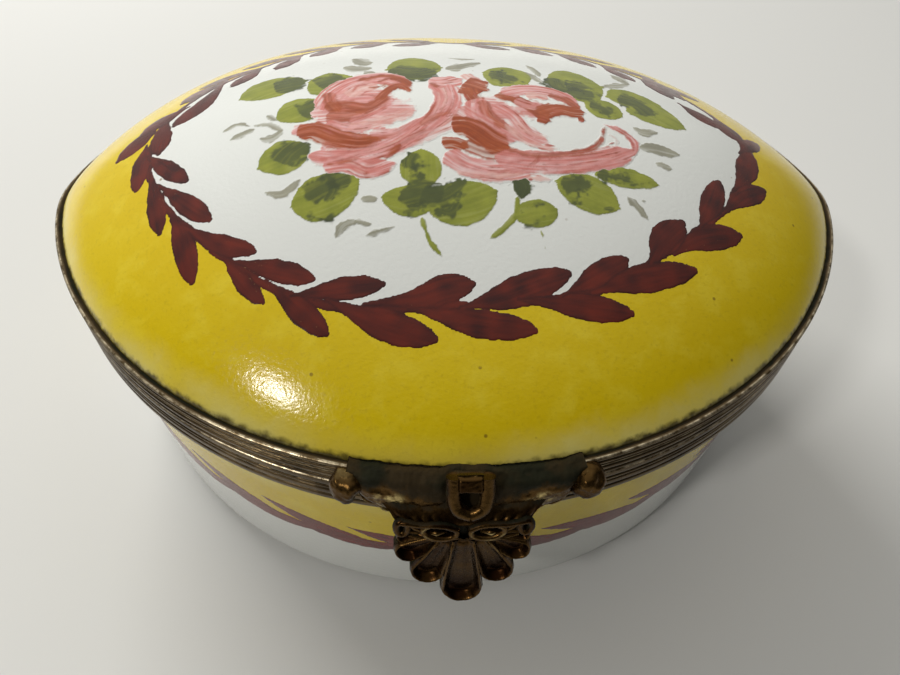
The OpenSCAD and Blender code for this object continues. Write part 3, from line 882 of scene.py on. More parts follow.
def enamel(name, ground_mix):
    """Glossy enamel coloured by the paint laid on each point, thin over the white where cover is low."""
    t = Tree(name)
    grain, fine = t.noise(1400.0, 4.0, 0.6), t.noise(5200.0, 3.0)
    paint = t.attr("paint", "Color")
    colour = t.mix(t.step(grain, 0.3, 0.75, 0.0, 0.28), paint, t.mix(0.5, paint, (0.02, 0.012, 0.008)))
    if ground_mix:
        ground = t.mix(grain, (0.80, 0.81, 0.775), (0.77, 0.78, 0.745))
        colour = t.mix(t.step(t.attr("cover"), 0.0, 0.92), ground, colour)
    else:
        worn = t.math("MULTIPLY", t.step(fine, 0.66, 0.74), t.step(t.noise(210.0, 3.0), 0.55, 0.7))
        colour = t.mix(t.math("MULTIPLY", worn, 0.5), colour, (0.45, 0.27, 0.10))
    t.set(Base_Color=colour, Roughness=t.step(grain, 0.25, 0.75, 0.12, 0.26), IOR=1.46)
    t.bump(t.math("ADD", fine, grain), 0.3, 0.00002)
    return t.mat


ENAMEL = enamel("rose_enamel", True)
MAROON = enamel("maroon_enamel", False)


def points_of(path):
    """A stroke's plan points from its row of x, y, x, y and so on."""
    return np.reshape(np.asarray(path, float), (-1, 2))


def paint_wreath():
    """A maroon stem round the lid with leaves on both sides."""
    canvas = Canvas(-27.5, 27.5, -21, 19.5, 0.085)
    rng = np.random.default_rng(11)
    for k, start in enumerate(np.arange(0.06, 2 * math.pi + 0.05, 0.24)):
        part = stem_at(np.linspace(start - 0.05, start + 0.27, 4))
        canvas.lay(part, 0.30, "maroon", "stroke", 0.97, 0.15, seed=3 + k)
    # Leaves at the back, in pairs that lean away from the middle of the back edge.
    for way, angles in ((-1, (1.50, 1.22, 0.97, 0.74, 0.54)), (1, (1.62, 1.90, 2.15, 2.38, 2.60))):
        for k, a in enumerate(angles):
            p, q = stem_at(np.array([a, a + way * 0.02]))
            flow = (q - p) / np.hypot(*(q - p))
            out = p / np.hypot(*p)
            for side in (-1, 1):
                size = 5.0 + rng.normal() * 0.3
                tip = p + flow * size * 0.86 + out * side * (1.9 + 0.3 * rng.random())
                mid = p + flow * size * 0.42 + out * side * 1.15
                canvas.lay((p, mid, tip), 0.86, "maroon", "leaf", 1.0, 0.22, seed=200 + 10 * k + side + way)
    for k, (half, *path) in enumerate(WREATH):
        canvas.lay(points_of(path), half * 1.12, "maroon", "leaf", 1.0, 0.2, ragged=0.05, seed=20 + k)
    canvas.piece("lid_wreath", on_lid, "lid", MAROON, 0.5, (0.006, 0.013))


def paint_leaves():
    """The bouquet's grey sprays, twigs and olive leaves with dark hearts."""
    canvas = Canvas(-19, 19.5, -16, 8.5, 0.085)
    for k, (half, *path) in enumerate(SPRAYS):
        canvas.lay(points_of(path), half, "grey", "oval", 0.85, 0.45, 0.16, 0.12, 300 + k)
    for k, (half, *path) in enumerate(TWIGS):
        canvas.lay(points_of(path), max(half, 0.1), "olive", "stroke", 0.95, 0.3, seed=330 + k)
    for k, (paint, half, *path) in enumerate(LEAVES):
        canvas.lay(points_of(path), half, paint, "oval", 0.97, 0.16, seed=350 + k)
    for k, (half, *path) in enumerate(CORES):
        canvas.lay(points_of(path), half * 1.2, "dark", "stroke", 0.88, 0.45, 0.4, 0.4, 400 + k)
    canvas.piece("lid_leaves", on_lid, "lid", ENAMEL, 0.06, (0.006, 0.022))


def paint_roses():
    """The two roses: soft pink ovals, then the petals' strokes with fine hairs along them."""
    canvas = Canvas(-12.5, 15, -11, 6.5, 0.065)
    rng = np.random.default_rng(21)
    ovals = ((-6.6, -1.1, 3.9, 2.6), (-6.0, -4.6, 3.4, 1.6), (2.6, -1.2, 1.6, 2.2), (5.4, -0.6, 2.6, 1.3))
    for k, (x, y, a, b) in enumerate(ovals):
        line = ((x - a, y), (x, y), (x + a, y))
        canvas.lay(line, b, "pink", "oval", 0.75, 0.55, 0.9, 0.5, 470 + k, 1.0)
    for k, (paint, amount, half, *path) in enumerate(ROSES):
        line = spline(points_of(path))
        strength = min(1.0, amount * 1.12)
        canvas.lay(points_of(path), half * 1.1, paint, "stroke", strength, 0.5, 0.3, 0.12, 500 + k, 1.0)
        side = np.gradient(line, axis=0) @ np.array([[0, 1], [-1, 0]])
        side /= np.hypot(*side.T)[:, None]
        count, shades = HAIRS[paint]
        for hair in range(count):
            a, b = sorted(rng.random(2) * 0.95)
            last = len(line) - 1
            span = slice(int(a * last), int(min(1.0, b + 0.25) * last) + 1, 6)
            if len(line[span]) > 2:
                part = line[span] + side[span] * half * rng.uniform(-0.95, 0.95)
                shade = shades[rng.integers(3)]
                width, strength = rng.uniform(0.06, 0.13), rng.uniform(0.45, 0.85)
                canvas.lay(part, width, shade, "willow", strength, 0.4, 0.1, 0.05, 900 + 8 * k + hair)
    canvas.piece("lid_roses", on_lid, "lid", ENAMEL, 0.06, (0.014, 0.034))


def paint_garland():
    """Willow leaves round the bowl where the yellow meets the white, their tips towards the left."""
    n = 2400
    p, normal = outline(n)
    first = int(np.argmin(p[:, 1] + 0.01 * np.abs(p[:, 0])))
    p, normal = np.roll(p, n // 2 - first, 0), np.roll(normal, n // 2 - first, 0)
    step = np.hypot(*(p[n // 2 + 1] - p[n // 2]))
    length = step * n
    s_at = (np.arange(n) - n // 2) * step

    def along_rim(s, values):
        return np.stack([np.interp(s, s_at, values[:, i], period=length) for i in (0, 1)], -1)

    def on_bowl(s, z, rise):
        s = (s + length / 2) % length - length / 2
        return np.c_[along_rim(s, p) - along_rim(s, normal) * (bowl_side(z) - rise)[:, None], z]

    canvas = Canvas(-length / 2 - 10, length / 2 + 10, GARLAND_Z - 3, GARLAND_Z + 3.2, 0.11)
    pitch = 7.2
    count = round(length / pitch)
    rng = np.random.default_rng(5)
    for k in range(-count // 2 - 2, count // 2 + 3):
        s, z = k * length / count, GARLAND_Z - 0.15
        a, b, c = (rng.random(3) - 0.5) * 0.35 if abs(k) < count // 2 - 1 else (0.0, 0.0, 0.0)
        rising = ((s + 1.2, z), (s - 3.2, z + 0.6 + a), (s - 8.4, z + 2.3 + b))
        level = ((s + 4.6, z + 0.1), (s + 0.4, z - 0.25 + c), (s - 4.6, z - 0.65 + a))
        for line, half, seed in ((rising, 0.95, 600 + k), (level, 0.85, 640 + k)):
            canvas.lay(line, half, "wine", "willow", 1.0, 0.1, ragged=0.05, seed=seed)
    canvas.cover *= np.abs(canvas.gx) <= length / 2 + 0.06
    canvas.piece("bowl_garland", on_bowl, "base", MAROON, 0.5, (0.006, 0.013))


paint_wreath()
paint_leaves()
paint_roses()
paint_garland()


# ---------------------------------------------------------------- bands


def reeded_face(z0, z1, grooves, depth=0.19, width=0.09):
    """Outer face of a band from bottom to top, with its relief: fine grooves between rounded reeds."""
    z = np.linspace(z0 + 0.06, z1 - 0.1, 74)
    d = np.full_like(z, 0.035)
    for g in grooves:
        d += depth * np.exp(-(((z - z0 - g) / width) ** 2))
    relief = 1 - np.clip((d - 0.035) / depth * 1.6, 0, 1)
    for g0, g1 in zip([0] + list(grooves), list(grooves) + [z1 - z0]):
        mid, half = (g0 + g1) / 2 + z0, (g1 - g0) / 2
        share = np.clip(1 - ((z - mid) / half) ** 2, 0, 1)
        inside = np.abs(z - mid) < half
        d = np.where(inside, d - 0.03 * share, d)
    return z, d, np.clip(relief, 0, 1)


FLANGE = 3.3


def band(name, z0, z1, grooves, top_lip, body, node, seed):
    """An L-section band: reeded outer wall, rolled edges, and a flat inner flange."""
    z, d, relief = reeded_face(z0, z1, grooves)
    # A thin line over each groove gets high relief, and the rolled edges more: worn brass painted bright,
    # with painted glints.
    near = np.abs(z[:, None] - z0 - np.array(grooves) - 0.17).min(1)
    crest = np.exp(-((near / 0.05) ** 2))
    wall = np.c_[d, z, 0.16 + 0.24 * relief + 0.62 * crest, 1 - relief]
    # Each row is a point of the section: inset, height, relief and grime.
    if top_lip:
        inner = (
            (0.25, z1 - 0.005, 0.5, 0.35),
            (0.34, z1 - 0.03, 0.2, 0.7),
            (0.44, z1 - 0.05, 0.1, 0.95),
            (0.58, z1 - 0.09, 0.0, 1.3),
            (0.60, z1 - 0.4, 0.0, 1.3),
            (BAND_WALL, z1 - 0.6, 0.0, 1.3),
            (BAND_WALL, z0 + 0.4, 0.3, 0.2),
            (FLANGE, z0 + 0.4, 0.5, 0.1),
            (FLANGE + 0.02, z0 + 0.2, 0.7, 0.0),
            (FLANGE, z0, 0.7, 0.0),
        )
    else:
        inner = (
            (0.3, z1, 0.5, 0.2),
            (FLANGE, z1, 0.6, 0.1),
            (FLANGE + 0.02, z1 - 0.2, 0.6, 0.0),
            (FLANGE, z1 - 0.4, 0.3, 0.2),
            (BAND_WALL, z1 - 0.4, 0.3, 0.2),
            (BAND_WALL, z0 + 0.5, 0.0, 1.2),
            (0.94, z0 + 0.3, 0.0, 1.2),
            (0.92, z0 + 0.08, 0.2, 1.0),
            (0.6, z0, 0.4, 0.5),
        )
    edge = ((0.05, z1 - 0.06, 1.25, 0.0), (0.1, z1 - 0.015, 1.3, 0.0), (0.17, z1, 1.1, 0.0))
    rows = np.array([(0.12, z0, 0.9, 0.0), *wall, *edge, *inner])
    sweep(name, rows[:, :2], body, BAND, (node,), 640, 0.028, seed, rows[:, 2], rows[:, 3])


band("lid_band", LID_Z0, LID_Z1, [0.36, 0.92, 1.22, 1.66], True, "lid", "lid_rim", 3)
band("bowl_band", BOWL_Z0, BOWL_Z1, [0.62, 1.34, 1.78], False, "base", "bowl_rim", 5)


def strip(name, d0, d1, z0, z1, body, mat, node):
    """A plain ring between two insets and two heights, with its corners cut."""
    r = min(0.08, (d1 - d0) / 3)
    outer = [(d0 + r, z0), (d0, z0 + r), (d0, z1 - r), (d0 + r, z1)]
    inner = [(d1 - r, z1), (d1, z1 - r), (d1, z0 + r), (d1 - r, z0)]
    sweep(name, outer + inner, body, mat, (node,))


for label, node, body, wall in (
    ("bowl_collar_strip", "bowl_collar", "base", 0.38),
    ("lid_liner_strip", "lid_rim_liner", "lid", 0.34),
):
    low, high = box_mm(node)
    depth = WIDE - high[1]
    strip(label, depth, depth + wall, low[2], high[2], body, INNER, node)
for label, node, body, skin in (
    ("bowl_seating", "bowl_cement", "base", BOWL_SKIN),
    ("lid_seating", "lid_cement", "lid", SKIN),
):
    low, high = box_mm(node)
    strip(label, BAND_WALL + 0.01, skin - 0.01, low[2] + 0.02, high[2] - 0.12, body, CEMENT, node)

HINGE_NODES = ("hinge_leaf_bowl", "hinge_leaf_lid", "hinge_knuckles_bowl", "hinge_knuckle_lid", "hinge_pin")
for node in (*HINGE_NODES, "catch_stud"):
    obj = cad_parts[node]
    obj.data.materials.clear()
    obj.data.materials.append(HINGE)

# ---------------------------------------------------------------- clasp


class Parts:
    """Several closed meshes joined into one piece, with relief, and grime with painted shade, on every point.
    """

    def __init__(self):
        self.verts, self.faces, self.relief, self.grime, self.count = [], [], [], [], 0

    def add(self, verts, faces, relief, grime):
        self.verts.append(verts)
        self.faces += [[i + self.count for i in face] for face in faces]
        self.relief.append(np.broadcast_to(relief, len(verts)))
        self.grime.append(np.broadcast_to(grime, len(verts)))
        self.count += len(verts)

    def done(self, name, node, cast=0.03, seed=1.0):
        verts = np.concatenate(self.verts)
        verts = verts + fuzz(verts, 1.1, cast, seed) + fuzz(verts, 4.5, cast * 0.45, seed + 3)
        attrs = {"relief": np.concatenate(self.relief), "grime": np.concatenate(self.grime)}
        make(name, verts, self.faces, "lid", CLASP, (node,), attrs)


def tilted(origin, degrees):
    """Frame whose own XY plane is turned up about X; maps local points to the box."""
    c, s = math.cos(math.radians(degrees)), math.sin(math.radians(degrees))
    turn = np.array([[1, 0, 0], [0, c, s], [0, -s, c]])
    return lambda p: np.asarray(p, float) @ turn + np.array(origin)


def pad_faces(rows, cols):
    """Faces of a closed pad: a grid, the same grid turned over under it, and the side between them."""
    n = rows * cols
    top = grid_faces(rows, cols)
    number = np.arange(n).reshape(rows, cols)
    loop = [*number[0], *number[1:, -1], *number[-1, -2::-1], *number[-2:0:-1, 0]]
    side = [[p, p + n, q + n, q] for p, q in zip(loop, loop[1:] + loop[:1])]
    return top.tolist() + (top[:, ::-1] + n).tolist() + side


def slab(parts, place, gx, gy, top, bottom, relief, grime):
    """A closed pad over a grid of plan points. Top, bottom, relief, and grime with painted shade are grids or
    single numbers.
    """
    top, bottom, relief, grime = (np.broadcast_to(v, gx.shape) for v in (top, bottom, relief, grime))
    upper, lower = (np.stack([gx, gy, z], -1).reshape(-1, 3) for z in (top, bottom))
    relief, grime = np.r_[relief.ravel(), np.full(gx.size, 0.2)], np.r_[grime.ravel(), np.full(gx.size, 0.8)]
    parts.add(place(np.concatenate([upper, lower])), pad_faces(*gx.shape), relief, grime)


def grid(x0, x1, nx, y0, y1, ny):
    """Two (nx, ny) grids of evenly spaced values."""
    return np.meshgrid(np.linspace(x0, x1, nx), np.linspace(y0, y1, ny), indexing="ij")


def tube(parts, place, points, radius, squash=1.0, closed=False, relief=0.75, grime=0.15, sides=14, n=70):
    """A round bar along a smooth local line; radius may vary along it and squash flattens it across."""
    if closed:
        line = spline(list(points) * 3 + [points[0]], n * 3)
        line = line[len(line) // 3 : 2 * len(line) // 3]
    else:
        line = spline(points, n)
    m = len(line)
    radius = np.atleast_1d(radius).astype(float)
    rad = np.interp(np.linspace(0, 1, m), np.linspace(0, 1, len(radius)), radius)
    ahead = np.roll(line, -1, 0) - np.roll(line, 1, 0)
    if not closed:
        ahead[0], ahead[-1] = line[1] - line[0], line[-1] - line[-2]
    ahead /= np.linalg.norm(ahead, axis=1)[:, None]
    side = np.cross(ahead, [0, 0, 1.0])
    side /= np.linalg.norm(side, axis=1)[:, None]
    a = np.linspace(0, 2 * math.pi, sides, endpoint=False)
    up = np.array([0, 0, 1.0])
    ring = side[:, None] * np.cos(a)[None, :, None] + up * (np.sin(a) * squash)[None, :, None]
    verts = (line[:, None] + ring * rad[:, None, None]).reshape(-1, 3)
    faces = grid_faces(m, sides, closed, True).tolist()
    # Each bar gets more relief on its upper side and more grime underneath: painted light on top, painted
    # shade below.
    top = np.tile(np.clip(np.sin(a), 0, 1) ** 3, m)
    rel, gri = relief * (0.35 + 0.65 * top), grime + 0.5 * (1 - top) ** 2
    if not closed:
        tips = [line[0] - ahead[0] * rad[0] * 0.3, line[-1] + ahead[-1] * rad[-1] * 0.3]
        verts = np.concatenate([verts, tips])
        tip, end = m * sides, (m - 1) * sides
        faces += [[tip, (j + 1) % sides, j] for j in range(sides)]
        faces += [[tip + 1, end + j, end + (j + 1) % sides] for j in range(sides)]
        rel, gri = np.r_[rel, relief, relief], np.r_[gri, grime, grime]
    parts.add(place(verts), faces, rel, gri)


def lobe(parts, place, root, turn, length, r, start, mirror, lift):
    """One cupped lobe with a raised rim, from the root out to a round tip."""
    q = length * np.sin(np.linspace(0.02, math.pi / 2 - 0.03, 46))
    tip = length - r
    round_tip = np.sqrt(np.clip(r**2 - (q - tip) ** 2, 0, None))
    half = np.where(q < tip, start + (r * 0.98 - start) * np.clip(q / tip, 0, 1) ** 0.9, round_tip)
    w = np.sin(np.linspace(-1, 1, 27) * math.pi / 2)
    gq, gw = np.meshgrid(q, w, indexing="ij")
    across = gw * half[:, None]
    to_tip = np.where(gq > tip, r - np.hypot(gq - tip, across), 9.0)
    edge = np.minimum((1 - np.abs(gw)) * half[:, None], to_tip)
    dish = smooth_step(edge, 0.12, 0.55)
    height = 0.30 + 0.36 * smooth_step(edge, -0.02, 0.14) - 0.66 * dish * (0.45 + 0.55 * (gq / length))
    height += 0.10 * np.exp(-((across / 0.14) ** 2)) * dish * (1 - gq / length)
    height = height + lift - 0.25 * smooth_step(0.5 - gq, 0.0, 0.5)
    a = math.radians(turn)
    x = (gq * math.cos(a) - across * math.sin(a)) * mirror + root[0]
    y = gq * math.sin(a) + across * math.cos(a) + root[1]
    crest = np.exp(-(((edge - 0.13) / 0.07) ** 2))
    relief = 0.12 + 0.42 * crest + 0.30 * (1 - gq / length)
    # Grime rises at each lobe's edge as painted shade in the gaps between lobes, and a little in the hollow
    # and towards the root.
    grime = 0.12 * dish + 0.75 * smooth_step(0.05 - edge, 0.0, 0.06) + 0.25 * (1 - gq / length)
    slab(parts, place, x, y, height, -0.42, relief, grime)


# Frames of the clasp's two leaning planes: the shell and scrolls hang on one, the eyelet stands on the other.
SHELL = tilted((CLASP_X - 0.2, FRONT - 1.5, PART_Z - 0.7), 76)
EYELET = tilted((CLASP_X + 0.1, FRONT - 1.6, PART_Z + 1.2), 60)

shell_parts = Parts()
for x, y, turn, length, r, start, lift in (
    (0.0, -0.85, -90, 6.0, 1.38, 0.74, 0.16),
    (0.95, -0.9, -68, 4.3, 1.13, 0.58, 0.04),
    (1.4, -0.8, -32, 3.15, 0.95, 0.50, -0.06),
    (1.9, -0.5, -4, 2.2, 0.56, 0.34, -0.12),
):
    for mirror in (1, -1) if x else (1,):
        lobe(shell_parts, SHELL, (x * mirror, y), turn, length, r, start, mirror, lift)
# A dark plate under the lobes: painted shade showing in the gaps between them.
fr, fa = grid(0.05, 1.0, 10, math.radians(-170), math.radians(-10), 40)
slab(shell_parts, SHELL, fr * 3.3 * np.cos(fa), -0.85 + fr * 3.6 * np.sin(fa), -0.12, -0.4, 0.0, 1.0)
shell_parts.done("shell_lobes", "clasp_shell", 0.035, 2.0)

# The scrolls: points on the right half, radii, squash, closed or open, relief and grime.
TURN = np.linspace(0, 2 * math.pi, 16, endpoint=False)
OVAL = [(1.42 + 1.0 * math.cos(a), -0.12 + 0.62 * math.sin(a) + 0.12 * math.cos(a), 0.42) for a in TURN]
CURL = [(3.66 + 0.34 * math.cos(a), 0.14 + 0.56 * math.sin(a), 0.3) for a in TURN]
HORN = ((0.35, 0.15, 0.5), (1.3, 0.55, 0.55), (2.6, 0.52, 0.48), (3.4, 0.66, 0.42), (3.95, 0.62, 0.3))
UNDER = ((0.3, -0.75, 0.35), (1.2, -0.95, 0.40), (2.4, -0.80, 0.36), (3.3, -0.62, 0.3))
SCROLLS = (
    (OVAL, 0.21, 1.3, True, 0.85, 0.1),
    (((2.2, -0.42, 0.2), (1.63, -0.26, 0.42), (1.0, -0.42, 0.2)), (0.12, 0.21, 0.12), 1.2, False, 0.95, 0.05),
    (HORN, (0.24, 0.2, 0.18, 0.22, 0.2), 1.2, False, 0.5, 0.3),
    (CURL, 0.23, 1.2, True, 0.45, 0.35),
    (UNDER, (0.16, 0.15, 0.14, 0.1), 1.2, False, 0.8, 0.2),
    (((2.6, -0.1, 0.3), (3.0, 0.2, 0.34), (3.3, 0.5, 0.3)), (0.16, 0.14, 0.1), 1.2, False, 0.7, 0.2),
)
scroll_parts = Parts()
for m in (1, -1):
    for points, radius, squash, closed, relief, grime in SCROLLS:
        line = [(m * x, y, z) for x, y, z in points]
        tube(scroll_parts, SHELL, line, radius, squash, closed, relief, grime)
# A dark plate behind the scrolls: painted shade showing through their openings.
gx, gy = grid(-3.95, 3.95, 60, -1.0, 0.85, 18)
slab(scroll_parts, SHELL, gx, gy, -0.02 + 0.12 * np.exp(-((gx / 0.35) ** 2)), -0.45, 0.0, 1.1)
gx, gy = grid(-3.9, 3.9, 110, 0.40, 1.75, 26)
notches = 0.07 * np.sin(gx * 11.0) * np.exp(-(((gy - 0.72) / 0.2) ** 2)) * smooth_step(np.abs(gx), 1.0, 1.8)
brow = 0.50 - 1.0 * ((gy - 0.40) / 1.35) ** 1.5 + notches - 0.25 * smooth_step(np.abs(gx), 3.2, 3.9)
wide = 1 + 0.34 * ((gy - 0.40) / 1.35) ** 1.4
grime = 0.25 + 0.5 * smooth_step(gy, 0.9, 1.5)
slab(scroll_parts, SHELL, gx * wide, gy, brow, brow - 0.5, 0.35 + notches * 5, grime)
scroll_parts.done("scroll_pair", "clasp_scrolls", 0.03, 5.0)

loop_parts = Parts()
for m in (1, -1):
    path = ((-0.94, 2.3), (-0.95, 1.5), (-0.94, 0.85), (-0.80, 0.26), (-0.46, -0.06), (0.0, -0.26))
    line = [(m * x, y, 0.0) for x, y in path]
    tube(loop_parts, EYELET, line, (0.47, 0.46, 0.45, 0.44, 0.43, 0.40), 1.0, False, 0.62, 0.15, 18, 90)
# A dark sheet behind the loop: painted shade filling its opening.
gx, gy = grid(-0.9, 0.9, 16, -0.3, 2.2, 20)
slab(loop_parts, EYELET, gx, gy, -0.5, -0.75, 0.0, 1.4)
loop_parts.done("eyelet_loop", "clasp_eyelet", 0.03, 7.0)

block_parts = Parts()
gx, gy = grid(-0.75, 0.75, 20, 1.36, 2.42, 16)
rim = smooth_step(np.minimum(0.75 - np.abs(gx), np.minimum(gy - 1.36, 2.42 - gy)), 0.0, 0.16)
slab(block_parts, EYELET, gx, gy, 0.1 + 0.42 * np.sqrt(rim), -0.3, 0.35 + 0.45 * (1 - rim), 0.25)
block_parts.done("eyelet_block", "clasp_eyelet_block", 0.045, 9.0)

# Lower edge of the bar: distance along the front from the clasp's middle, and height over the parting line.
LOWER = (
    (-6.9, 0.9), (-5.95, 0.1), (-5.0, -0.9), (-3.6, -1.6), (-1.5, -1.5), (0.0, -1.4),
    (1.5, -1.5), (3.6, -1.6), (5.0, -0.9), (5.95, 0.1), (6.9, 0.9),
)
BAR_HALF = 7.0


def bump_at(value, middle, width):
    """A bell curve, 1 at the middle."""
    return np.exp(-(((value - middle) / width) ** 2))


def front_line(x, out):
    """Plan points a distance out in front of the band, at distances x along the box."""
    n = np.c_[x, -np.sqrt(ARC_R**2 - x**2)]
    n = n / np.hypot(*n.T)[:, None]
    return n * (ARC_R + out[:, None]) + np.array([0.0, ARC_Y])


def clasp_bar():
    """The bar hugs the outside of the band. Along it runs ga; gv is 0 at its lower edge, 1 at its top, and
    above 1 where it rolls over the band's top."""
    ga, gv = grid(-BAR_HALF, BAR_HALF, 190, 0, 1.3, 54)
    far, share = np.abs(ga), np.minimum(gv, 1)
    low = PART_Z + np.interp(ga, *zip(*LOWER))
    over = np.clip((gv - 1) / 0.3, 0, 1)
    z = low + (LID_Z1 + 0.2 - low) * share + 0.10 * np.sin(over * 3.0)
    up = z - low
    ends = smooth_step(BAR_HALF - far, 0.0, 1.4)
    swell = np.sqrt(np.clip(1 - np.abs(2 * share - 1) ** 2.6, 0, 1))
    dip = bump_at(gv, 0.80, 0.08) * 0.10
    edge_bead = bump_at(up, 0.28, 0.13) * smooth_step(far, 2.2, 3.0)
    groove = bump_at(up, 0.56, 0.10) * smooth_step(far, 2.2, 3.2)
    flutes = 0.07 * np.sin(ga * 5.2 + 1.2 * np.sin(ga)) * bump_at(up, 0.3, 0.3) * smooth_step(far, 3.4, 4.4)
    # Behind the shell the bar is set back and darkened: painted shade under the shell.
    behind = smooth_step(1.7 - far, 0.0, 0.7)
    out = 0.08 + 0.98 * swell * (0.35 + 0.65 * ends) - 0.62 * over - 0.15 * (1 - ends) * (over > 0) - dip
    out = out + 0.14 * edge_bead - 0.16 * groove + flutes - 0.35 * behind
    # Worn patches on each side get high relief: worn brass, painted bright as a highlight too.
    worn = np.exp(-(((far - 4.3) / 1.2) ** 2) - ((gv - 0.52) / 0.30) ** 2)
    relief = 0.36 + 0.45 * edge_bead + 1.1 * worn + 0.3 * np.clip(flutes / 0.07, 0, 1)
    # Grime in the groove, darker towards the bar's top, and painted shade behind the shell.
    grime = 0.75 * groove + 0.85 * smooth_step(gv, 0.30, 0.95) * (1 - worn) + 0.6 * behind + 0.15 * (1 - worn)
    x = ga.ravel() + CLASP_X
    points = [np.c_[front_line(x, way), z.ravel()] for way in (out.ravel(), np.full(z.size, -0.62))]
    bar = Parts()
    relief, grime = np.r_[relief.ravel(), np.zeros(z.size)], np.tile(grime.ravel(), 2)
    bar.add(np.concatenate(points), pad_faces(*z.shape), relief, grime)
    bar.done("clasp_plate", "clasp_bar", 0.085, 11.0)


def bead(name, node, hand, notch_way, notch_depth, seed):
    """A lumpy cast ball with a notch, at one end of the bar: hand is -1 on the left and 1 on the right."""
    low, high = box_mm(node)
    ball = bmesh.new()
    bmesh.ops.create_icosphere(ball, subdivisions=5, radius=1.0)
    unit = np.array([v.co[:] for v in ball.verts])
    faces = [[v.index for v in f.verts] for f in ball.faces]
    ball.free()
    x, z = (low[0] + high[0]) / 2, (low[2] + high[2]) / 2
    middle = np.array([x + 0.1 + 0.15 * hand, low[1] + 1.25, z - 0.35])
    notch_way = np.array(notch_way) / np.linalg.norm(notch_way)
    notch = bump_at(np.linalg.norm(unit - notch_way, axis=1), 0.0, 0.55) * notch_depth
    lump = np.array([noise.noise(Vector(p) * 1.8 + Vector((hand * 3.0, 0, 0))) for p in unit]) * 0.14
    radius = 1.18 * (1 + lump - notch)
    # The ball is lighter on top and darker underneath and in its notch: painted light and painted shade.
    relief = np.clip(0.42 + 0.35 * unit[:, 2] - 1.6 * notch, 0, 1)
    grime = np.clip(0.25 + 2.2 * notch + 0.35 * (unit[:, 2] < -0.4), 0, 1.2)
    parts = Parts()
    parts.add(middle + unit * radius[:, None], faces, relief, grime)
    parts.done(name, node, 0.08, seed)


clasp_bar()
bead("bead_left", "clasp_bead_left", -1, (0.75, -0.5, -0.45), 0.55, 12.0)
bead("bead_right", "clasp_bead_right", 1, (0.1, -0.75, -0.65), 0.18, 14.0)

# ---------------------------------------------------------------- stage, light, camera

def add_floor():
    """A plain pale table top."""
    t = Tree("table_top")
    t.set(Base_Color=t.mix(t.noise(9.0, 3.0), (0.71, 0.703, 0.68), (0.68, 0.675, 0.652)), Roughness=0.62)
    mesh = bpy.data.meshes.new("floor")
    mesh.from_pydata([(-3, -3, 0), (3, -3, 0), (3, 3, 0), (-3, 3, 0)], [], [[0, 1, 2, 3]])
    mesh.materials.append(t.mat)
    obj = bpy.data.objects.new("floor", mesh)
    bpy.context.collection.objects.link(obj)


def area_light(name, place, target, size, power, colour):
    """A rectangular lamp at a place, turned to face the target."""
    data = bpy.data.lights.new(name, "AREA")
    data.shape, data.size, data.size_y = "RECTANGLE", size[0], size[1]
    data.energy, data.color = power, colour
    obj = bpy.data.objects.new(name, data)
    bpy.context.collection.objects.link(obj)
    obj.location = place
    obj.rotation_euler = (Vector(target) - Vector(place)).to_track_quat("-Z", "Y").to_euler()
    return obj


def glow(sky, way, direction, low, high, low_value, high_value):
    """World strength that rises from low_value to high_value towards a direction."""
    dot = sky.nodes.new("ShaderNodeVectorMath")
    dot.operation = "DOT_PRODUCT"
    sky.links.new(way, dot.inputs[0])
    dot.inputs[1].default_value = Vector(direction).normalized()
    ramp = sky.nodes.new("ShaderNodeMapRange")
    ramp.interpolation_type = "SMOOTHSTEP"
    sky.links.new(dot.outputs["Value"], ramp.inputs["Value"])
    for key, value in zip(("From Min", "From Max", "To Min", "To Max"), (low, high, low_value, high_value)):
        ramp.inputs[key].default_value = value
    return ramp.outputs[0]


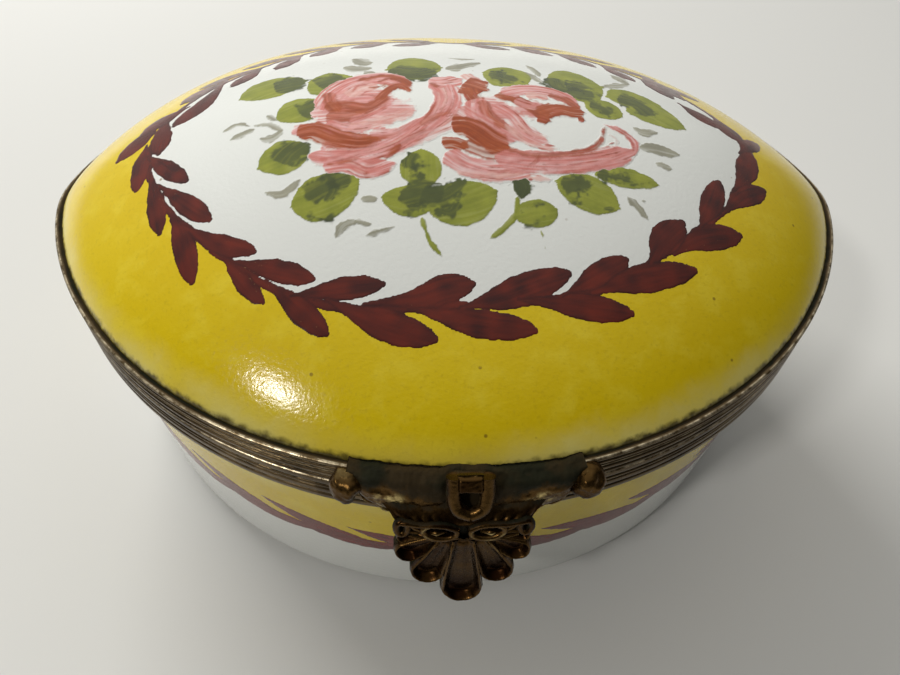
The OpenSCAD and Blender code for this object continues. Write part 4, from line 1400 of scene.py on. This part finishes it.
def add_world():
    """Soft daylight, bright from behind and above, fading towards the front."""
    world = bpy.data.worlds.new("studio")
    bpy.context.scene.world = world
    world.use_nodes = True
    sky = world.node_tree
    way = sky.nodes.new("ShaderNodeTexCoord").outputs["Generated"]
    total = sky.nodes.new("ShaderNodeMath")
    total.operation = "ADD"
    sky.links.new(glow(sky, way, (-0.15, 0.65, 0.7), 0.1, 1.0, 0.035, 0.60), total.inputs[0])
    sky.links.new(glow(sky, way, (0.1, 0.2, 1.0), 0.3, 1.0, 0.0, 0.05), total.inputs[1])
    background = sky.nodes["Background"]
    background.inputs[0].default_value = (1.0, 0.995, 0.96, 1)
    # Seen directly, the studio wall is one pale tone.
    wall = sky.nodes.new("ShaderNodeMix")
    sky.links.new(sky.nodes.new("ShaderNodeLightPath").outputs["Is Camera Ray"], wall.inputs[0])
    sky.links.new(total.outputs[0], wall.inputs[2])
    wall.inputs[3].default_value = 0.62
    sky.links.new(wall.outputs[0], background.inputs[1])


# The camera stands in front and above, at about 50 degrees, close to the box. Its distance and aim were
# fitted in units of half the box's length, its focal length in pixels of the 900 pixel wide photograph.
CAMERA_UNIT = (HALF + 0.5) / 1000.0
DISTANCE, TILT, TURN_ANGLE, ROLL = 2.1961 * CAMERA_UNIT, 0.8785, -0.0608, 0.0410
AIM = Vector((0.0122 * CAMERA_UNIT, 0.0, 0.1300 * CAMERA_UNIT))
FOCAL_PIXELS, SENSOR_WIDTH = 680.54, 36.0


def add_camera():
    """The photograph's camera, rolled slightly about its own line of sight."""
    flat = math.cos(TILT)
    back = Vector((math.sin(TURN_ANGLE) * flat, -math.cos(TURN_ANGLE) * flat, math.sin(TILT)))
    right = Vector((0, 0, 1)).cross(back).normalized()
    up = back.cross(right)
    rolled_right = math.cos(ROLL) * right + math.sin(ROLL) * up
    rolled_up = -math.sin(ROLL) * right + math.cos(ROLL) * up
    camera = bpy.data.objects.new("camera", bpy.data.cameras.new("camera"))
    bpy.context.collection.objects.link(camera)
    camera.data.sensor_width = SENSOR_WIDTH
    camera.data.lens = FOCAL_PIXELS / 900.0 * SENSOR_WIDTH
    camera.data.clip_start = 0.001
    turn = Matrix((rolled_right, rolled_up, back)).transposed().to_4x4()
    camera.matrix_world = Matrix.Translation(AIM + back * DISTANCE) @ turn
    bpy.context.scene.camera = camera


add_floor()
day = area_light("daylight", (-0.19, 0.28, 0.27), (0.0, 0.0, 0.01), (0.26, 0.20), 1.62, (1.0, 1.0, 0.97))
day.visible_glossy = False
WINDOW = (-0.305, -0.245, 0.365)
area_light("window", WINDOW, (-0.011, -0.02, 0.024), (0.056, 0.040), 0.65, (1.0, 0.98, 0.94))
add_world()
add_camera()
bpy.context.scene.view_settings.view_transform = "Standard"
